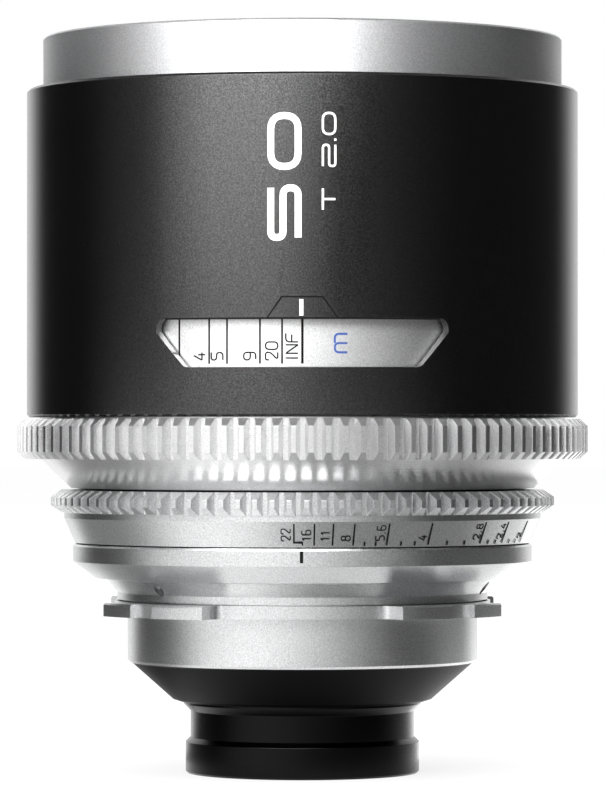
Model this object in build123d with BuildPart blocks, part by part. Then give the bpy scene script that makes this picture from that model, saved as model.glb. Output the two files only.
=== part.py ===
from build123d import *

import os
from math import asin, atan2, cos, degrees, hypot, pi, radians, sin, sqrt, tan

# A 50 mm cinema prime lens. The origin is the centre of the mount's seat, +Z runs along the
# optical axis to the front, and the index marks face -Y. Heights are measured from the seat.
# The radii are built up from the glass outward, and the heights from the seat upward.

# Fits and working margins
running_gap = 0.05
slip_gap = 0.03
axial_play = 0.2
ring_gap = 0.3
overrun = 2.0
edge_break = 0.3

# Lens mount
pilot_margin = 2.37
pilot_length = 7.5
pilot_wall = 2.0
pilot_chamfer = 0.4
flange_thickness = 2.0
flange_margin = 2.0
lobe_reach = 4.6
lobe_half_angle = 18.7
lobe_foot_fillet = 1.4
lobe_notch_width = 4.7
lobe_notch_depth = 1.2
lobe_notch_turn = 1.2
lobe_edge_chamfer = 0.25
lobe_count = 4
spigot_wall = 4.1
spigot_height = 3.3
web_drop = 0.8
shim_thickness = 0.1
shim_count = 2
shim_width = 2.6
mount_screw_count = 6
mount_screw_radius = 0.8
mount_screw_head_radius = 1.5
mount_screw_head_height = 1.0
mount_screw_grip = 1.1

# Rear housing
neck_margin = 1.57
neck_height = 1.1
neck_cone_width = 1.58
neck_cone_height = 2.03
shoulder_rise = 0.17
housing_chamfer_width = 3.37
housing_chamfer_height = 2.55
housing_band_height = 2.65
housing_wall = 1.77
socket_depth = 2.5
ledge_height = 1.5
set_screw_radius = 0.95
set_screw_recess = 0.5
set_screw_rise = 0.81
set_screw_azimuths = (-48, 72, 192)
hex_share = 0.55

# Rear light baffle
baffle_margin = 0.8
baffle_cone_height = 5.5
baffle_step = 1.25
baffle_lip_height = 0.4
baffle_wall = 1.2
baffle_spigot = 4.5
baffle_clearance = 0.45

# Glass: radius, thickness on the axis and how far each edge lies above its surface's centre
front_glass_radius = 25.5
front_glass_thickness = 7.0
front_glass_sag = -6.0
front_glass_rear_sag = -1.5
second_glass_step = 4.0
second_glass_thickness = 5.5
second_glass_sag = -5.0
second_glass_rear_sag = -2.2
crown_step = 2.0
crown_thickness = 7.0
crown_sag = -4.0
front_flint_thickness = 2.2
front_flint_rear_sag = -5.5
front_air_gap = 1.2
rear_glass_step = 4.1
rear_flint_thickness = 2.5
rear_flint_sag = 3.5
rear_crown_thickness = 6.5
rear_crown_rear_sag = 3.5
positive_thickness = 6.3
positive_sag = -0.8
positive_rear_sag = 3.0
rear_air_gap = 1.2
last_glass_thickness = 5.5
last_glass_sag = -1.5
last_glass_rear_sag = 1.0
glass_ledge = 2.0
ledge_thickness = 1.4

# Front cell and the lens carriage
front_lock_margin = 2.5
front_lock_slope = 2.7
front_cell_wall = 3.2
front_cell_height = 14.0
front_glass_recess = 1.5
lock_ring_height = 4.0
spacer_width = 1.6
cell_margin = 0.35
carriage_wall = 2.05
carriage_step = 0.35
carriage_relief = 0.4
carriage_head = 18.0
carriage_tail = 21.6
carriage_end_wall = 1.6
guide_band_length = 10.0

# Rear cell
rear_cell_wall = 1.82
rear_cell_bead = 1.03
rear_cell_shoulder = 1.9
rear_cell_flange_width = 2.3
rear_cell_flange_height = 2.0
groove_chamfer = 1.1
groove_length = 4.0
end_ring_length = 4.8
end_ring_chamfer = 0.75
rear_reach = 24.6
rear_cell_neck_height = 7.8

# Main barrel, cam barrel and their screws
barrel_rear_wall = 2.0
barrel_step = 0.8
barrel_flange = 0.35
barrel_top_recess = 0.5
cam_wall = 1.95
cam_length = 37.0
washer_height = 0.4
lock_ring_length = 4.0
focus_throw = 200
focus_travel = 6.95
cam_runs = 20
follower_count = 3
follower_rise = 23.0
follower_radius = 1.15
follower_gap = 0.15
follower_pin_radius = 0.7
stop_rise = 16.0
stop_radius = 1.0
stop_gap = 0.2

# Focus ring, scale drum, sleeve and front ring
gear_module = 0.8
tooth_depth = 1.8
tooth_tip_share = 0.3
tooth_root_share = 0.72
focus_lip_wall = 0.7
focus_lip_gap = 0.25
focus_lip_height = 1.7
focus_cone_width = 4.6
focus_cone_height = 4.5
focus_gear_height = 6.1
focus_tooth_chamfer = 1.1
focus_tooth_bevel = 1.2
drum_room = 2.6
drum_wall = 1.5
drum_seat = 1.1
drum_boss = 3.0
drum_length = 17.0
drum_screw_radius = 0.8
drum_screw_count = 3
sleeve_room = 0.5
sleeve_wall = 1.5
sleeve_gap = 0.25
sleeve_length = 50.35
sleeve_lip = 1.0
sleeve_chamfer = 0.4
gear_overhang = 1.5
front_ring_step = 1.0
front_ring_length = 8.0
front_ring_spigot = 6.0
front_ring_ledge = 1.6
front_ring_bore_gap = 0.65
front_ring_relief = 1.0
filter_wall = 1.5
filter_depth = 4.9
filter_ledge = 1.2
front_baffle_rise = 1.8
front_baffle_lip = 0.6
sleeve_screw_radius = 0.8
sleeve_screw_azimuths = (130, 180, 230)

# Focus window and index plate, in angles about the axis from the index mark
window_bottom = 7.25
window_height = 7.2
window_tip_angle = 30.3
window_tip_drop = 2.0
window_foot_angle = 24.0
window_top_fillet = 1.9
window_foot_fillet = 1.5
plate_foot_width = 10.3
plate_top_width = 5.9
plate_height = 3.0
plate_thickness = 0.7
plate_gap = 0.12

# Iris ring
liner_wall = 0.7
iris_ring_wall = 0.85
iris_cone_width = 1.55
iris_cone_height = 3.8
iris_land_height = 0.9
iris_gear_height = 3.4
iris_root_step = 0.25
iris_tooth_chamfer = 1.1
iris_tooth_bevel = 1.6
iris_throw = 69
iris_pin_radius = 0.75
iris_pin_inset = 0.75
iris_pin_angle = 124

# Iris
iris_plate_width = 8.8
blade_count = 9
blade_thickness = 0.12
blade_pitch = 0.2
blade_lip = 0.7
blade_width = 7.0
blade_span = 100
blade_swing = 30.8
blade_pivot_inset = 6.15
blade_arm = 6.0
blade_ear_radius = 1.3
blade_pin_radius = 0.4
blade_pin_gap = 0.1
blade_pin_inset = 0.3
iris_gap = 0.3
iris_plate_thickness = 1.2
iris_retaining_height = 1.5
iris_retaining_step = 2.0
fork_width = 4.8
fork_thickness = 1.8
fork_inset = 1.0
fork_slot_gap = 0.05
fork_reach = 8.0
fork_margin = 0.4

quarter_turn = 90
full_turn = 360
index_angle = -quarter_turn

# Radii of the barrels and rings, built outward from the front glass
front_lock_radius = front_glass_radius + front_lock_margin
front_cell_radius = front_lock_radius + front_cell_wall
carriage_radius = front_cell_radius + cell_margin
carriage_bore = carriage_radius - carriage_wall
iris_bore = carriage_bore - carriage_step
barrel_bore = carriage_radius + running_gap
barrel_rear_radius = barrel_bore + barrel_rear_wall
barrel_radius = barrel_rear_radius + barrel_step
barrel_flange_radius = barrel_radius + barrel_flange
cam_bore = barrel_radius + running_gap
cam_radius = cam_bore + cam_wall
drum_bore = cam_radius + drum_room
drum_radius = drum_bore + drum_wall
sleeve_bore = drum_radius + sleeve_room
sleeve_radius = sleeve_bore + sleeve_wall
front_ring_radius = sleeve_bore - front_ring_step
filter_radius = front_ring_radius - filter_wall
focus_lip_bore = barrel_flange_radius + focus_lip_gap
focus_foot_radius = focus_lip_bore + focus_lip_wall
focus_cone_radius = focus_foot_radius + focus_cone_width
focus_tip_radius = sleeve_radius + gear_overhang
focus_root_radius = focus_tip_radius - tooth_depth
liner_bore = barrel_rear_radius + running_gap
liner_radius = liner_bore + liner_wall
iris_foot_radius = liner_radius + iris_ring_wall
iris_land_radius = iris_foot_radius + iris_cone_width
iris_root_radius = iris_land_radius + iris_root_step
iris_tip_radius = iris_root_radius + tooth_depth
housing_radius = barrel_rear_radius + housing_wall
housing_face_radius = housing_radius - housing_chamfer_width

# Radii of the rear cell and the mount, built outward from the rear glass
second_radius = front_glass_radius - second_glass_step
crown_radius = second_radius - crown_step
rear_glass_radius = crown_radius - rear_glass_step
rear_cell_bore = rear_glass_radius + running_gap
groove_radius = rear_cell_bore + rear_cell_wall
rear_cell_radius = groove_radius + rear_cell_bead
rear_cell_waist = rear_cell_radius + rear_cell_shoulder
spigot_bore = rear_cell_waist + ring_gap + slip_gap
spigot_radius = spigot_bore + spigot_wall
mount_screw_circle = (spigot_bore + spigot_radius) / 2
pilot_radius = spigot_radius + pilot_margin
pilot_bore = pilot_radius - pilot_wall
flange_radius = pilot_radius + flange_margin
lobe_radius = flange_radius + lobe_reach
neck_radius = pilot_radius + neck_margin
neck_top_radius = neck_radius + neck_cone_width

# Radii of the iris, built inward from its bore in the carriage
fork_inner_radius = iris_bore - fork_inset - fork_thickness
blade_pivot_radius = iris_bore - blade_pivot_inset
iris_opening = blade_pivot_radius - iris_plate_width
blade_inner_radius = iris_opening - blade_lip
blade_outer_radius = blade_inner_radius + blade_width
blade_arm_angle = quarter_turn - blade_swing / 2

# Heights, built upward from the seat
neck_bottom = flange_thickness + shim_thickness * shim_count
neck_top = neck_bottom + neck_height
housing_shoulder = neck_top + neck_cone_height
housing_face = housing_shoulder + shoulder_rise
housing_band = housing_face + housing_chamfer_height
housing_top = housing_band + housing_band_height
spigot_top = flange_thickness + spigot_height
ledge_top = spigot_top + ledge_height
barrel_bottom = housing_top - socket_depth
iris_ring_bottom = housing_top + axial_play
iris_cone_top = iris_ring_bottom + iris_cone_height
iris_gear_bottom = iris_cone_top + iris_land_height
iris_ring_top = iris_gear_bottom + iris_gear_height
iris_pin_height = iris_gear_bottom
barrel_flange_bottom = iris_ring_top + axial_play
focus_bottom = iris_ring_top + ring_gap
cam_bottom = focus_bottom + focus_lip_height
focus_gear_bottom = focus_bottom + focus_cone_height
focus_gear_top = focus_gear_bottom + focus_gear_height
drum_bottom = focus_gear_top + drum_seat
boss_top = drum_bottom + drum_boss
drum_top = drum_bottom + drum_length
sleeve_bottom = focus_gear_top + sleeve_gap
sleeve_top = sleeve_bottom + sleeve_length
front = sleeve_top + front_ring_length
window_foot = sleeve_bottom + window_bottom
window_top = window_foot + window_height
cam_top = cam_bottom + cam_length
stop_height = cam_bottom + stop_rise
follower_height = cam_bottom + follower_rise
washer_bottom = cam_top + axial_play
barrel_lock_bottom = washer_bottom + washer_height
barrel_top = sleeve_top - barrel_top_recess
carriage_bottom = follower_height - carriage_tail
carriage_top = follower_height + carriage_head
front_cell_top = carriage_top + front_cell_height
carriage_floor = carriage_bottom + carriage_end_wall
cam_plate_bottom = carriage_floor + iris_gap
cam_plate_top = cam_plate_bottom + iris_plate_thickness
blade_bottom = cam_plate_top + iris_gap
blade_stack = blade_pitch * (blade_count - 1) + blade_thickness
base_plate_bottom = blade_bottom + blade_stack + iris_gap
base_plate_top = base_plate_bottom + iris_plate_thickness
front_cell_bottom = base_plate_top + iris_retaining_height + iris_gap
rear_cell_flange_bottom = carriage_bottom - rear_cell_flange_height
rear_end_ring_top = end_ring_length - rear_reach + end_ring_chamfer

# Glass heights: each centre follows from the last one and a thickness or an air gap
front_centre = front_cell_top - front_glass_recess
front_rear_centre = front_centre - front_glass_thickness
second_centre = front_rear_centre - front_air_gap
second_rear_centre = second_centre - second_glass_thickness
crown_centre = second_rear_centre - front_air_gap
front_cement = crown_centre - crown_thickness
front_flint_rear_centre = front_cement - front_flint_thickness
rear_flint_centre = carriage_bottom - axial_play - ledge_thickness - rear_flint_sag
rear_cement = rear_flint_centre - rear_flint_thickness
rear_crown_centre = rear_cement - rear_crown_thickness
positive_centre = rear_crown_centre - rear_air_gap
positive_rear_centre = positive_centre - positive_thickness
last_rear_centre = end_ring_chamfer * 2 - rear_reach + end_ring_length - last_glass_rear_sag
last_centre = last_rear_centre + last_glass_thickness


def turn(points, mode=Mode.ADD):
    """Revolve (radius, height) points about the optical axis into the part being built."""
    with BuildSketch(Plane.XZ) as section:
        with BuildLine():
            Polyline(*points, close=True)
        make_face()
    revolve(section.sketch, axis=Axis.Z, mode=mode)


def tube(inner, outer, bottom, top, mode=Mode.ADD):
    """Turn a plain tube into the part being built."""
    turn(((inner, bottom), (outer, bottom), (outer, top), (inner, top)), mode)


def direction(angle):
    """The unit vector that points away from the axis at this angle from +X."""
    return Vector(cos(radians(angle)), sin(radians(angle)), 0)


def radial_plane(angle, radius, height):
    """A plane that looks outward: x runs round the axis, y runs forward along it."""
    out = direction(angle)
    return Plane(origin=out * radius + Vector(0, 0, height), x_dir=(-out.Y, out.X, 0), z_dir=out)


def radial_round(angle, height, radius, inner, outer, mode=Mode.ADD):
    """Add or cut a cylinder along a radius, between two distances from the axis."""
    with BuildSketch(radial_plane(angle, inner, height)) as spot:
        Circle(radius)
    extrude(spot.sketch, amount=outer - inner, mode=mode)


def radial_screw(angle, height, radius, inner, outer):
    """A set screw along a radius, with a hexagon socket in its outer end."""
    radial_round(angle, height, radius, inner, outer)
    with BuildSketch(radial_plane(angle, outer, height)) as socket:
        RegularPolygon(radius * hex_share, 6)
    extrude(socket.sketch, amount=-radius, mode=Mode.SUBTRACT)


def band_outline(inner, outer, start, size):
    """Lines and arcs of a stretch of ring, from a start angle over a size in degrees."""
    CenterArc((0, 0), outer, start, size)
    CenterArc((0, 0), inner, start, size)
    for angle in (start, start + size):
        out = direction(angle)
        Line(tuple(out * inner), tuple(out * outer))


def arc_band(inner, outer, start, size, bottom, top, mode=Mode.ADD):
    """Add or cut a stretch of ring between two heights."""
    with BuildSketch(Plane.XY.offset(bottom)) as band:
        with BuildLine():
            band_outline(inner, outer, start, size)
        make_face()
    extrude(band.sketch, amount=top - bottom, mode=mode)


def slot_angle(half_width, radius):
    """Degrees about the axis that a half width takes up at a radius."""
    return degrees(asin(half_width / radius))


def surface(radius, centre, sag):
    """Draw a lens surface from the axis to its edge, as an arc or, with no sag, a line."""
    if sag == 0:
        return Line((0, centre), (radius, centre))
    sphere = (radius**2 + sag**2) / (2 * abs(sag))
    half = asin(radius / sphere) / 2
    rise = (1 - cos(half)) * sphere * (1 if sag > 0 else -1)
    return ThreePointArc((0, centre), (sphere * sin(half), centre + rise), (radius, centre + sag))


def height_at(distance, radius, centre, sag):
    """The height of a lens surface at a distance from the axis."""
    sphere = (radius**2 + sag**2) / (2 * abs(sag))
    rise = sphere - sqrt(sphere**2 - distance**2)
    return centre + (rise if sag > 0 else -rise)


def glass(radius, rear, rear_sag, front_face, front_sag):
    """Turn a lens element into the part being built, from its two surfaces' centres."""
    with BuildSketch(Plane.XZ) as section:
        with BuildLine():
            surface(radius, rear, rear_sag)
            surface(radius, front_face, front_sag)
            Line((0, rear), (0, front_face))
            Line((radius, rear + rear_sag), (radius, front_face + front_sag))
        make_face()
    revolve(section.sketch, axis=Axis.Z)


def finish(builder, label):
    """Name a finished piece and write it to its own file."""
    builder.part.label = label
    export_step(builder.part, f"parts/{label}.step")


os.makedirs("parts", exist_ok=True)

# Mount: a pilot tube with four bayonet lobes, and a spigot that the housing is clamped on
with BuildSketch(Plane.XY) as flange_outline:
    Circle(flange_radius)
    for quadrant in range(lobe_count):
        with BuildSketch(mode=Mode.PRIVATE) as lobe:
            with BuildLine():
                band_outline(
                    pilot_bore,
                    lobe_radius,
                    quadrant * full_turn / lobe_count + (full_turn / lobe_count) / 2 - lobe_half_angle,
                    2 * lobe_half_angle,
                )
            make_face()
        add(lobe.sketch)
    fillet(flange_outline.vertices().group_by(SortBy.DISTANCE)[0], lobe_foot_fillet)
with BuildPart() as pl_mount:
    extrude(flange_outline.sketch, amount=flange_thickness)
    chamfer(pl_mount.edges().group_by(SortBy.DISTANCE)[-1], lobe_edge_chamfer)
    for side in (1, -1):
        for end in (1, -1):
            turned = side * (quarter_turn / 2 - lobe_notch_turn)
            notch_angle = turned if end == 1 else 2 * quarter_turn - turned
            with BuildSketch(radial_plane(notch_angle, lobe_radius - lobe_notch_depth, 0)) as notch:
                Rectangle(lobe_notch_width, 2 * (flange_thickness + overrun))
            extrude(notch.sketch, amount=overrun, mode=Mode.SUBTRACT)
    turn(
        (
            (0, 0),
            (pilot_radius, 0),
            (pilot_radius, pilot_chamfer - pilot_length),
            (pilot_radius - pilot_chamfer, -pilot_length),
            (0, -pilot_length),
        )
    )
    tube(0, spigot_radius, 0, spigot_top)
    tube(0, pilot_bore, -pilot_length - overrun, -web_drop, Mode.SUBTRACT)
    tube(0, spigot_bore, -web_drop - overrun, spigot_top + overrun, Mode.SUBTRACT)
    with BuildSketch(Plane.XY.offset(-web_drop)) as screw_holes:
        with PolarLocations(mount_screw_circle, mount_screw_count):
            Circle(mount_screw_radius)
    extrude(screw_holes.sketch, amount=spigot_top + web_drop, mode=Mode.SUBTRACT)
finish(pl_mount, "pl_mount")

shim_inner = spigot_radius + running_gap
shim_outer = shim_inner + shim_width
with BuildPart() as pl_shims:
    for layer in range(shim_count):
        bottom = flange_thickness + layer * shim_thickness
        tube(shim_inner, shim_outer, bottom, bottom + shim_thickness)
finish(pl_shims, "pl_shims")

mount_screw_tip = spigot_top + mount_screw_grip
with BuildPart() as pl_mount_screws:
    with BuildSketch(Plane.XY.offset(-web_drop)) as screw_shanks:
        with PolarLocations(mount_screw_circle, mount_screw_count):
            Circle(mount_screw_radius)
    extrude(screw_shanks.sketch, amount=web_drop + mount_screw_tip)
    with BuildSketch(Plane.XY.offset(-web_drop)) as screw_heads:
        with PolarLocations(mount_screw_circle, mount_screw_count):
            Circle(mount_screw_head_radius)
    extrude(screw_heads.sketch, amount=-mount_screw_head_height)
    with BuildSketch(Plane.XY.offset(-web_drop - mount_screw_head_height)) as screw_sockets:
        with PolarLocations(mount_screw_circle, mount_screw_count):
            RegularPolygon(mount_screw_radius * hex_share * 2, 6)
    extrude(screw_sockets.sketch, amount=mount_screw_head_height * hex_share, mode=Mode.SUBTRACT)
finish(pl_mount_screws, "pl_mount_screws")

# Rear housing: the fixed ring with the iris index, which joins the mount to the main barrel
set_screw_height = neck_top + set_screw_rise
with BuildPart() as rear_housing:
    turn(
        (
            (spigot_radius + slip_gap, neck_bottom),
            (neck_radius, neck_bottom),
            (neck_radius, neck_top),
            (neck_top_radius, housing_shoulder),
            (housing_face_radius, housing_face),
            (housing_radius, housing_band),
            (housing_radius, housing_top - edge_break),
            (housing_radius - edge_break, housing_top),
            (barrel_rear_radius + slip_gap, housing_top),
            (barrel_rear_radius + slip_gap, barrel_bottom),
            (barrel_bore, barrel_bottom),
            (iris_bore, ledge_top),
            (spigot_bore, ledge_top),
            (spigot_bore, spigot_top),
            (spigot_radius + slip_gap, spigot_top),
        )
    )
    for azimuth in set_screw_azimuths:
        radial_round(
            azimuth + index_angle,
            set_screw_height,
            set_screw_radius + slip_gap,
            spigot_radius - running_gap,
            housing_radius,
            Mode.SUBTRACT,
        )
    with BuildSketch(Plane.XY.offset(spigot_top)) as tapped_holes:
        with PolarLocations(mount_screw_circle, mount_screw_count):
            Circle(mount_screw_radius)
    extrude(tapped_holes.sketch, amount=ledge_height, mode=Mode.SUBTRACT)
finish(rear_housing, "rear_housing")

with BuildPart() as housing_set_screws:
    for azimuth in set_screw_azimuths:
        radial_screw(
            azimuth + index_angle,
            set_screw_height,
            set_screw_radius,
            spigot_radius + slip_gap,
            neck_radius - set_screw_recess,
        )
finish(housing_set_screws, "housing_set_screws")

# Rear light baffle: a black cone spigoted into the pilot tube
baffle_top = -pilot_length
baffle_shelf = baffle_top - axial_play
baffle_bottom = baffle_shelf - baffle_cone_height
lip_radius = rear_cell_radius + baffle_clearance
lip_outer = lip_radius + baffle_step
with BuildPart() as rear_baffle:
    turn(
        (
            (pilot_bore - slip_gap, baffle_top),
            (pilot_radius - pilot_chamfer - slip_gap, baffle_top),
            (pilot_radius - baffle_margin, baffle_shelf),
            (lip_outer, baffle_bottom),
            (lip_radius, baffle_bottom - baffle_lip_height),
            (lip_radius, baffle_bottom + baffle_wall / 2),
            (pilot_bore - slip_gap - baffle_wall, baffle_top),
            (pilot_bore - slip_gap - baffle_wall, baffle_top + baffle_spigot),
            (pilot_bore - slip_gap, baffle_top + baffle_spigot),
        )
    )
finish(rear_baffle, "rear_baffle")

# Main barrel: the fixed tube that everything turns on or slides in
follower_angles = [index * full_turn / follower_count for index in range(follower_count)]
stop_angle = follower_angles[0] + full_turn / (2 * follower_count)
iris_slot_margin = slot_angle(iris_pin_radius, barrel_bore) + slot_angle(stop_gap, barrel_bore)
with BuildPart() as main_barrel:
    turn(
        (
            (barrel_bore, barrel_bottom),
            (barrel_rear_radius, barrel_bottom),
            (barrel_rear_radius, barrel_flange_bottom),
            (barrel_flange_radius, barrel_flange_bottom),
            (barrel_flange_radius, cam_bottom - axial_play),
            (barrel_radius, cam_bottom - axial_play),
            (barrel_radius, barrel_top),
            (barrel_bore, barrel_top),
        )
    )
    for angle in follower_angles:
        guide_plane = radial_plane(angle, barrel_bore - overrun, follower_height + focus_travel / 2)
        with BuildSketch(guide_plane) as guide_slot:
            SlotCenterToCenter(focus_travel, 2 * (follower_radius + running_gap), rotation=quarter_turn)
        extrude(guide_slot.sketch, amount=overrun + barrel_radius, mode=Mode.SUBTRACT)
    arc_band(
        barrel_bore - overrun,
        barrel_rear_radius + overrun,
        iris_pin_angle - iris_throw - iris_slot_margin,
        iris_throw + 2 * iris_slot_margin,
        iris_pin_height - iris_pin_radius - stop_gap,
        iris_pin_height + iris_pin_radius + stop_gap,
        Mode.SUBTRACT,
    )
    radial_round(stop_angle, stop_height, stop_radius, barrel_bore - overrun, cam_radius, Mode.SUBTRACT)
finish(main_barrel, "main_barrel")

with BuildPart() as focus_stop_screw:
    radial_screw(stop_angle, stop_height, stop_radius, barrel_bore + ring_gap, cam_radius - ring_gap)
finish(focus_stop_screw, "focus_stop_screw")

with BuildPart() as thrust_washer:
    tube(cam_bore, cam_radius, washer_bottom, barrel_lock_bottom)
finish(thrust_washer, "thrust_washer")

with BuildPart() as barrel_lock_ring:
    tube(barrel_radius + slip_gap, cam_radius, barrel_lock_bottom, barrel_lock_bottom + lock_ring_length)
    for angle in (0, 2 * quarter_turn):
        key_plane = radial_plane(angle, barrel_radius, barrel_lock_bottom + lock_ring_length)
        with BuildSketch(key_plane) as key_slot:
            Rectangle(cam_wall, cam_wall)
        extrude(key_slot.sketch, amount=overrun + cam_wall, mode=Mode.SUBTRACT)
finish(barrel_lock_ring, "barrel_lock_ring")

# Cam barrel: three left-handed helical slots carry the followers forward as it turns. Each is
# cut as short straight runs, which stay within a hundredth of a millimetre of the helix.
cam_middle = (cam_bore + cam_radius) / 2
cam_slot_half = follower_radius + follower_gap
cam_cut_inner, cam_cut_outer = cam_bore - overrun / 2, cam_radius + overrun / 2
cam_climb = degrees(atan2(focus_travel, cam_middle * radians(focus_throw)))
cam_run_length = 2 * cam_cut_outer * tan(radians(focus_throw / cam_runs / 2))
with BuildPart() as cam_slot:
    for run in range(cam_runs):
        share = (run + 1 / 2) / cam_runs
        height = follower_height + focus_travel * share
        with BuildSketch(radial_plane(-focus_throw * share, cam_cut_inner, height)) as run_section:
            Rectangle(cam_run_length, 2 * cam_slot_half, rotation=-cam_climb)
        extrude(run_section.sketch, amount=cam_cut_outer - cam_cut_inner)
    for share in (0, 1):
        height = follower_height + focus_travel * share
        radial_round(-focus_throw * share, height, cam_slot_half, cam_cut_inner, cam_cut_outer)
stop_margin = slot_angle(stop_radius + stop_gap, cam_middle)
with BuildPart() as cam_barrel:
    tube(cam_bore, cam_radius, cam_bottom, cam_top)
    for angle in follower_angles:
        add(cam_slot.part, rotation=(0, 0, angle), mode=Mode.SUBTRACT)
    arc_band(
        cam_bore - overrun,
        cam_radius + overrun,
        stop_angle - focus_throw - stop_margin,
        focus_throw + 2 * stop_margin,
        stop_height - stop_radius - stop_gap,
        stop_height + stop_radius + stop_gap,
        Mode.SUBTRACT,
    )
finish(cam_barrel, "cam_barrel")


def cut_tooth_spaces(tip, bottom, top):
    """Cut straight-sided gear spaces all round a blank, from its tip radius inward."""
    teeth = round(2 * tip / gear_module) - 2
    pitch = 2 * pi * tip / teeth
    root = tip - tooth_depth
    opening = pitch * (1 - tooth_tip_share)
    floor = pitch * (1 - tooth_root_share)
    slope = (opening - floor) / 2 / tooth_depth
    outer = tip + overrun
    half_floor, half_outer = floor / 2, floor / 2 + slope * (tooth_depth + overrun)
    with BuildSketch(Plane.XY.offset(bottom - overrun)) as spaces:
        with PolarLocations(0, teeth):
            Polygon(
                (root, -half_floor),
                (outer, -half_outer),
                (outer, half_outer),
                (root, half_floor),
                align=None,
            )
    extrude(spaces.sketch, amount=top - bottom + 2 * overrun, mode=Mode.SUBTRACT)


def gear_blank(root, tip, bottom, top, chamfer_height, chamfer_depth):
    """Turn a gear's rim, with its two sides bevelled, into the part being built."""
    turn(
        (
            (root - overrun, bottom),
            (tip - chamfer_depth, bottom),
            (tip, bottom + chamfer_height),
            (tip, top - chamfer_height),
            (tip - chamfer_depth, top),
            (root - overrun, top),
        )
    )


# Focus ring: a toothed ring whose boss carries the scale drum, clamped on the cam barrel
with BuildPart() as focus_ring:
    gear_blank(
        focus_root_radius,
        focus_tip_radius,
        focus_gear_bottom,
        focus_gear_top,
        focus_tooth_chamfer,
        focus_tooth_bevel,
    )
    cut_tooth_spaces(focus_tip_radius, focus_gear_bottom, focus_gear_top)
    turn(
        (
            (focus_lip_bore, focus_bottom),
            (focus_foot_radius, focus_bottom),
            (focus_cone_radius, focus_gear_bottom),
            (focus_root_radius, focus_gear_bottom),
            (focus_root_radius, focus_gear_top),
            (drum_radius, focus_gear_top),
            (drum_radius, drum_bottom),
            (drum_bore - slip_gap, drum_bottom),
            (drum_bore - slip_gap, boss_top),
            (cam_radius + slip_gap, boss_top),
            (cam_radius + slip_gap, cam_bottom),
            (focus_lip_bore, cam_bottom),
        )
    )
    for index in range(drum_screw_count):
        angle = index * full_turn / drum_screw_count
        middle = (drum_bottom + boss_top) / 2
        radial_round(angle, middle, drum_screw_radius, cam_radius, drum_radius, Mode.SUBTRACT)
        clamp_angle = angle + full_turn / (2 * drum_screw_count)
        radial_round(clamp_angle, middle, drum_screw_radius, cam_radius, drum_radius, Mode.SUBTRACT)
finish(focus_ring, "focus_ring")

with BuildPart() as focus_ring_screws:
    for index in range(drum_screw_count):
        clamp_angle = (index * 2 + 1) * full_turn / (2 * drum_screw_count)
        middle = (drum_bottom + boss_top) / 2
        radial_screw(clamp_angle, middle, drum_screw_radius, cam_radius, drum_bore - edge_break)
finish(focus_ring_screws, "focus_ring_screws")

with BuildPart() as scale_drum:
    tube(drum_bore, drum_radius, drum_bottom, drum_top)
    chamfer(scale_drum.edges().group_by(Axis.Z)[-1], edge_break)
    for index in range(drum_screw_count):
        angle = index * full_turn / drum_screw_count
        middle = (drum_bottom + boss_top) / 2
        radial_round(angle, middle, drum_screw_radius, cam_radius, sleeve_bore, Mode.SUBTRACT)
finish(scale_drum, "scale_drum")

with BuildPart() as scale_drum_screws:
    for index in range(drum_screw_count):
        angle = index * full_turn / drum_screw_count
        middle = (drum_bottom + boss_top) / 2
        radial_screw(angle, middle, drum_screw_radius, cam_radius + slip_gap, drum_radius)
finish(scale_drum_screws, "scale_drum_screws")

# Outer sleeve: the fixed black barrel, with the focus window and the index plate's pocket


def window_outline(distance):
    """The window's outline on a plane this far in front of the axis, seen from the axis."""
    tip = distance * tan(radians(window_tip_angle))
    foot = distance * tan(radians(window_foot_angle))
    scale = distance / sleeve_radius
    with BuildSketch(Plane.XZ.offset(distance)) as outline:
        with BuildLine():
            Polyline(
                (-foot, window_foot),
                (foot, window_foot),
                (tip, window_top - window_tip_drop),
                (tip, window_top),
                (-tip, window_top),
                (-tip, window_top - window_tip_drop),
                close=True,
            )
        make_face()
        fillet(outline.vertices().group_by(Axis.Y)[0], window_foot_fillet * scale)
        fillet(outline.vertices().group_by(Axis.Y)[-1], window_top_fillet * scale)
    return outline.sketch


def plate_outline(margin):
    """The index plate's outline, grown by a margin on its three free sides."""
    foot, top = plate_foot_width / 2 + margin, plate_top_width / 2 + margin
    with BuildSketch(Plane.XZ.offset(sleeve_bore)) as outline:
        with BuildLine():
            Polyline(
                (-foot, window_top - margin),
                (foot, window_top - margin),
                (top, window_top + plate_height + margin),
                (-top, window_top + plate_height + margin),
                close=True,
            )
        make_face()
    return outline.sketch


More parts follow.
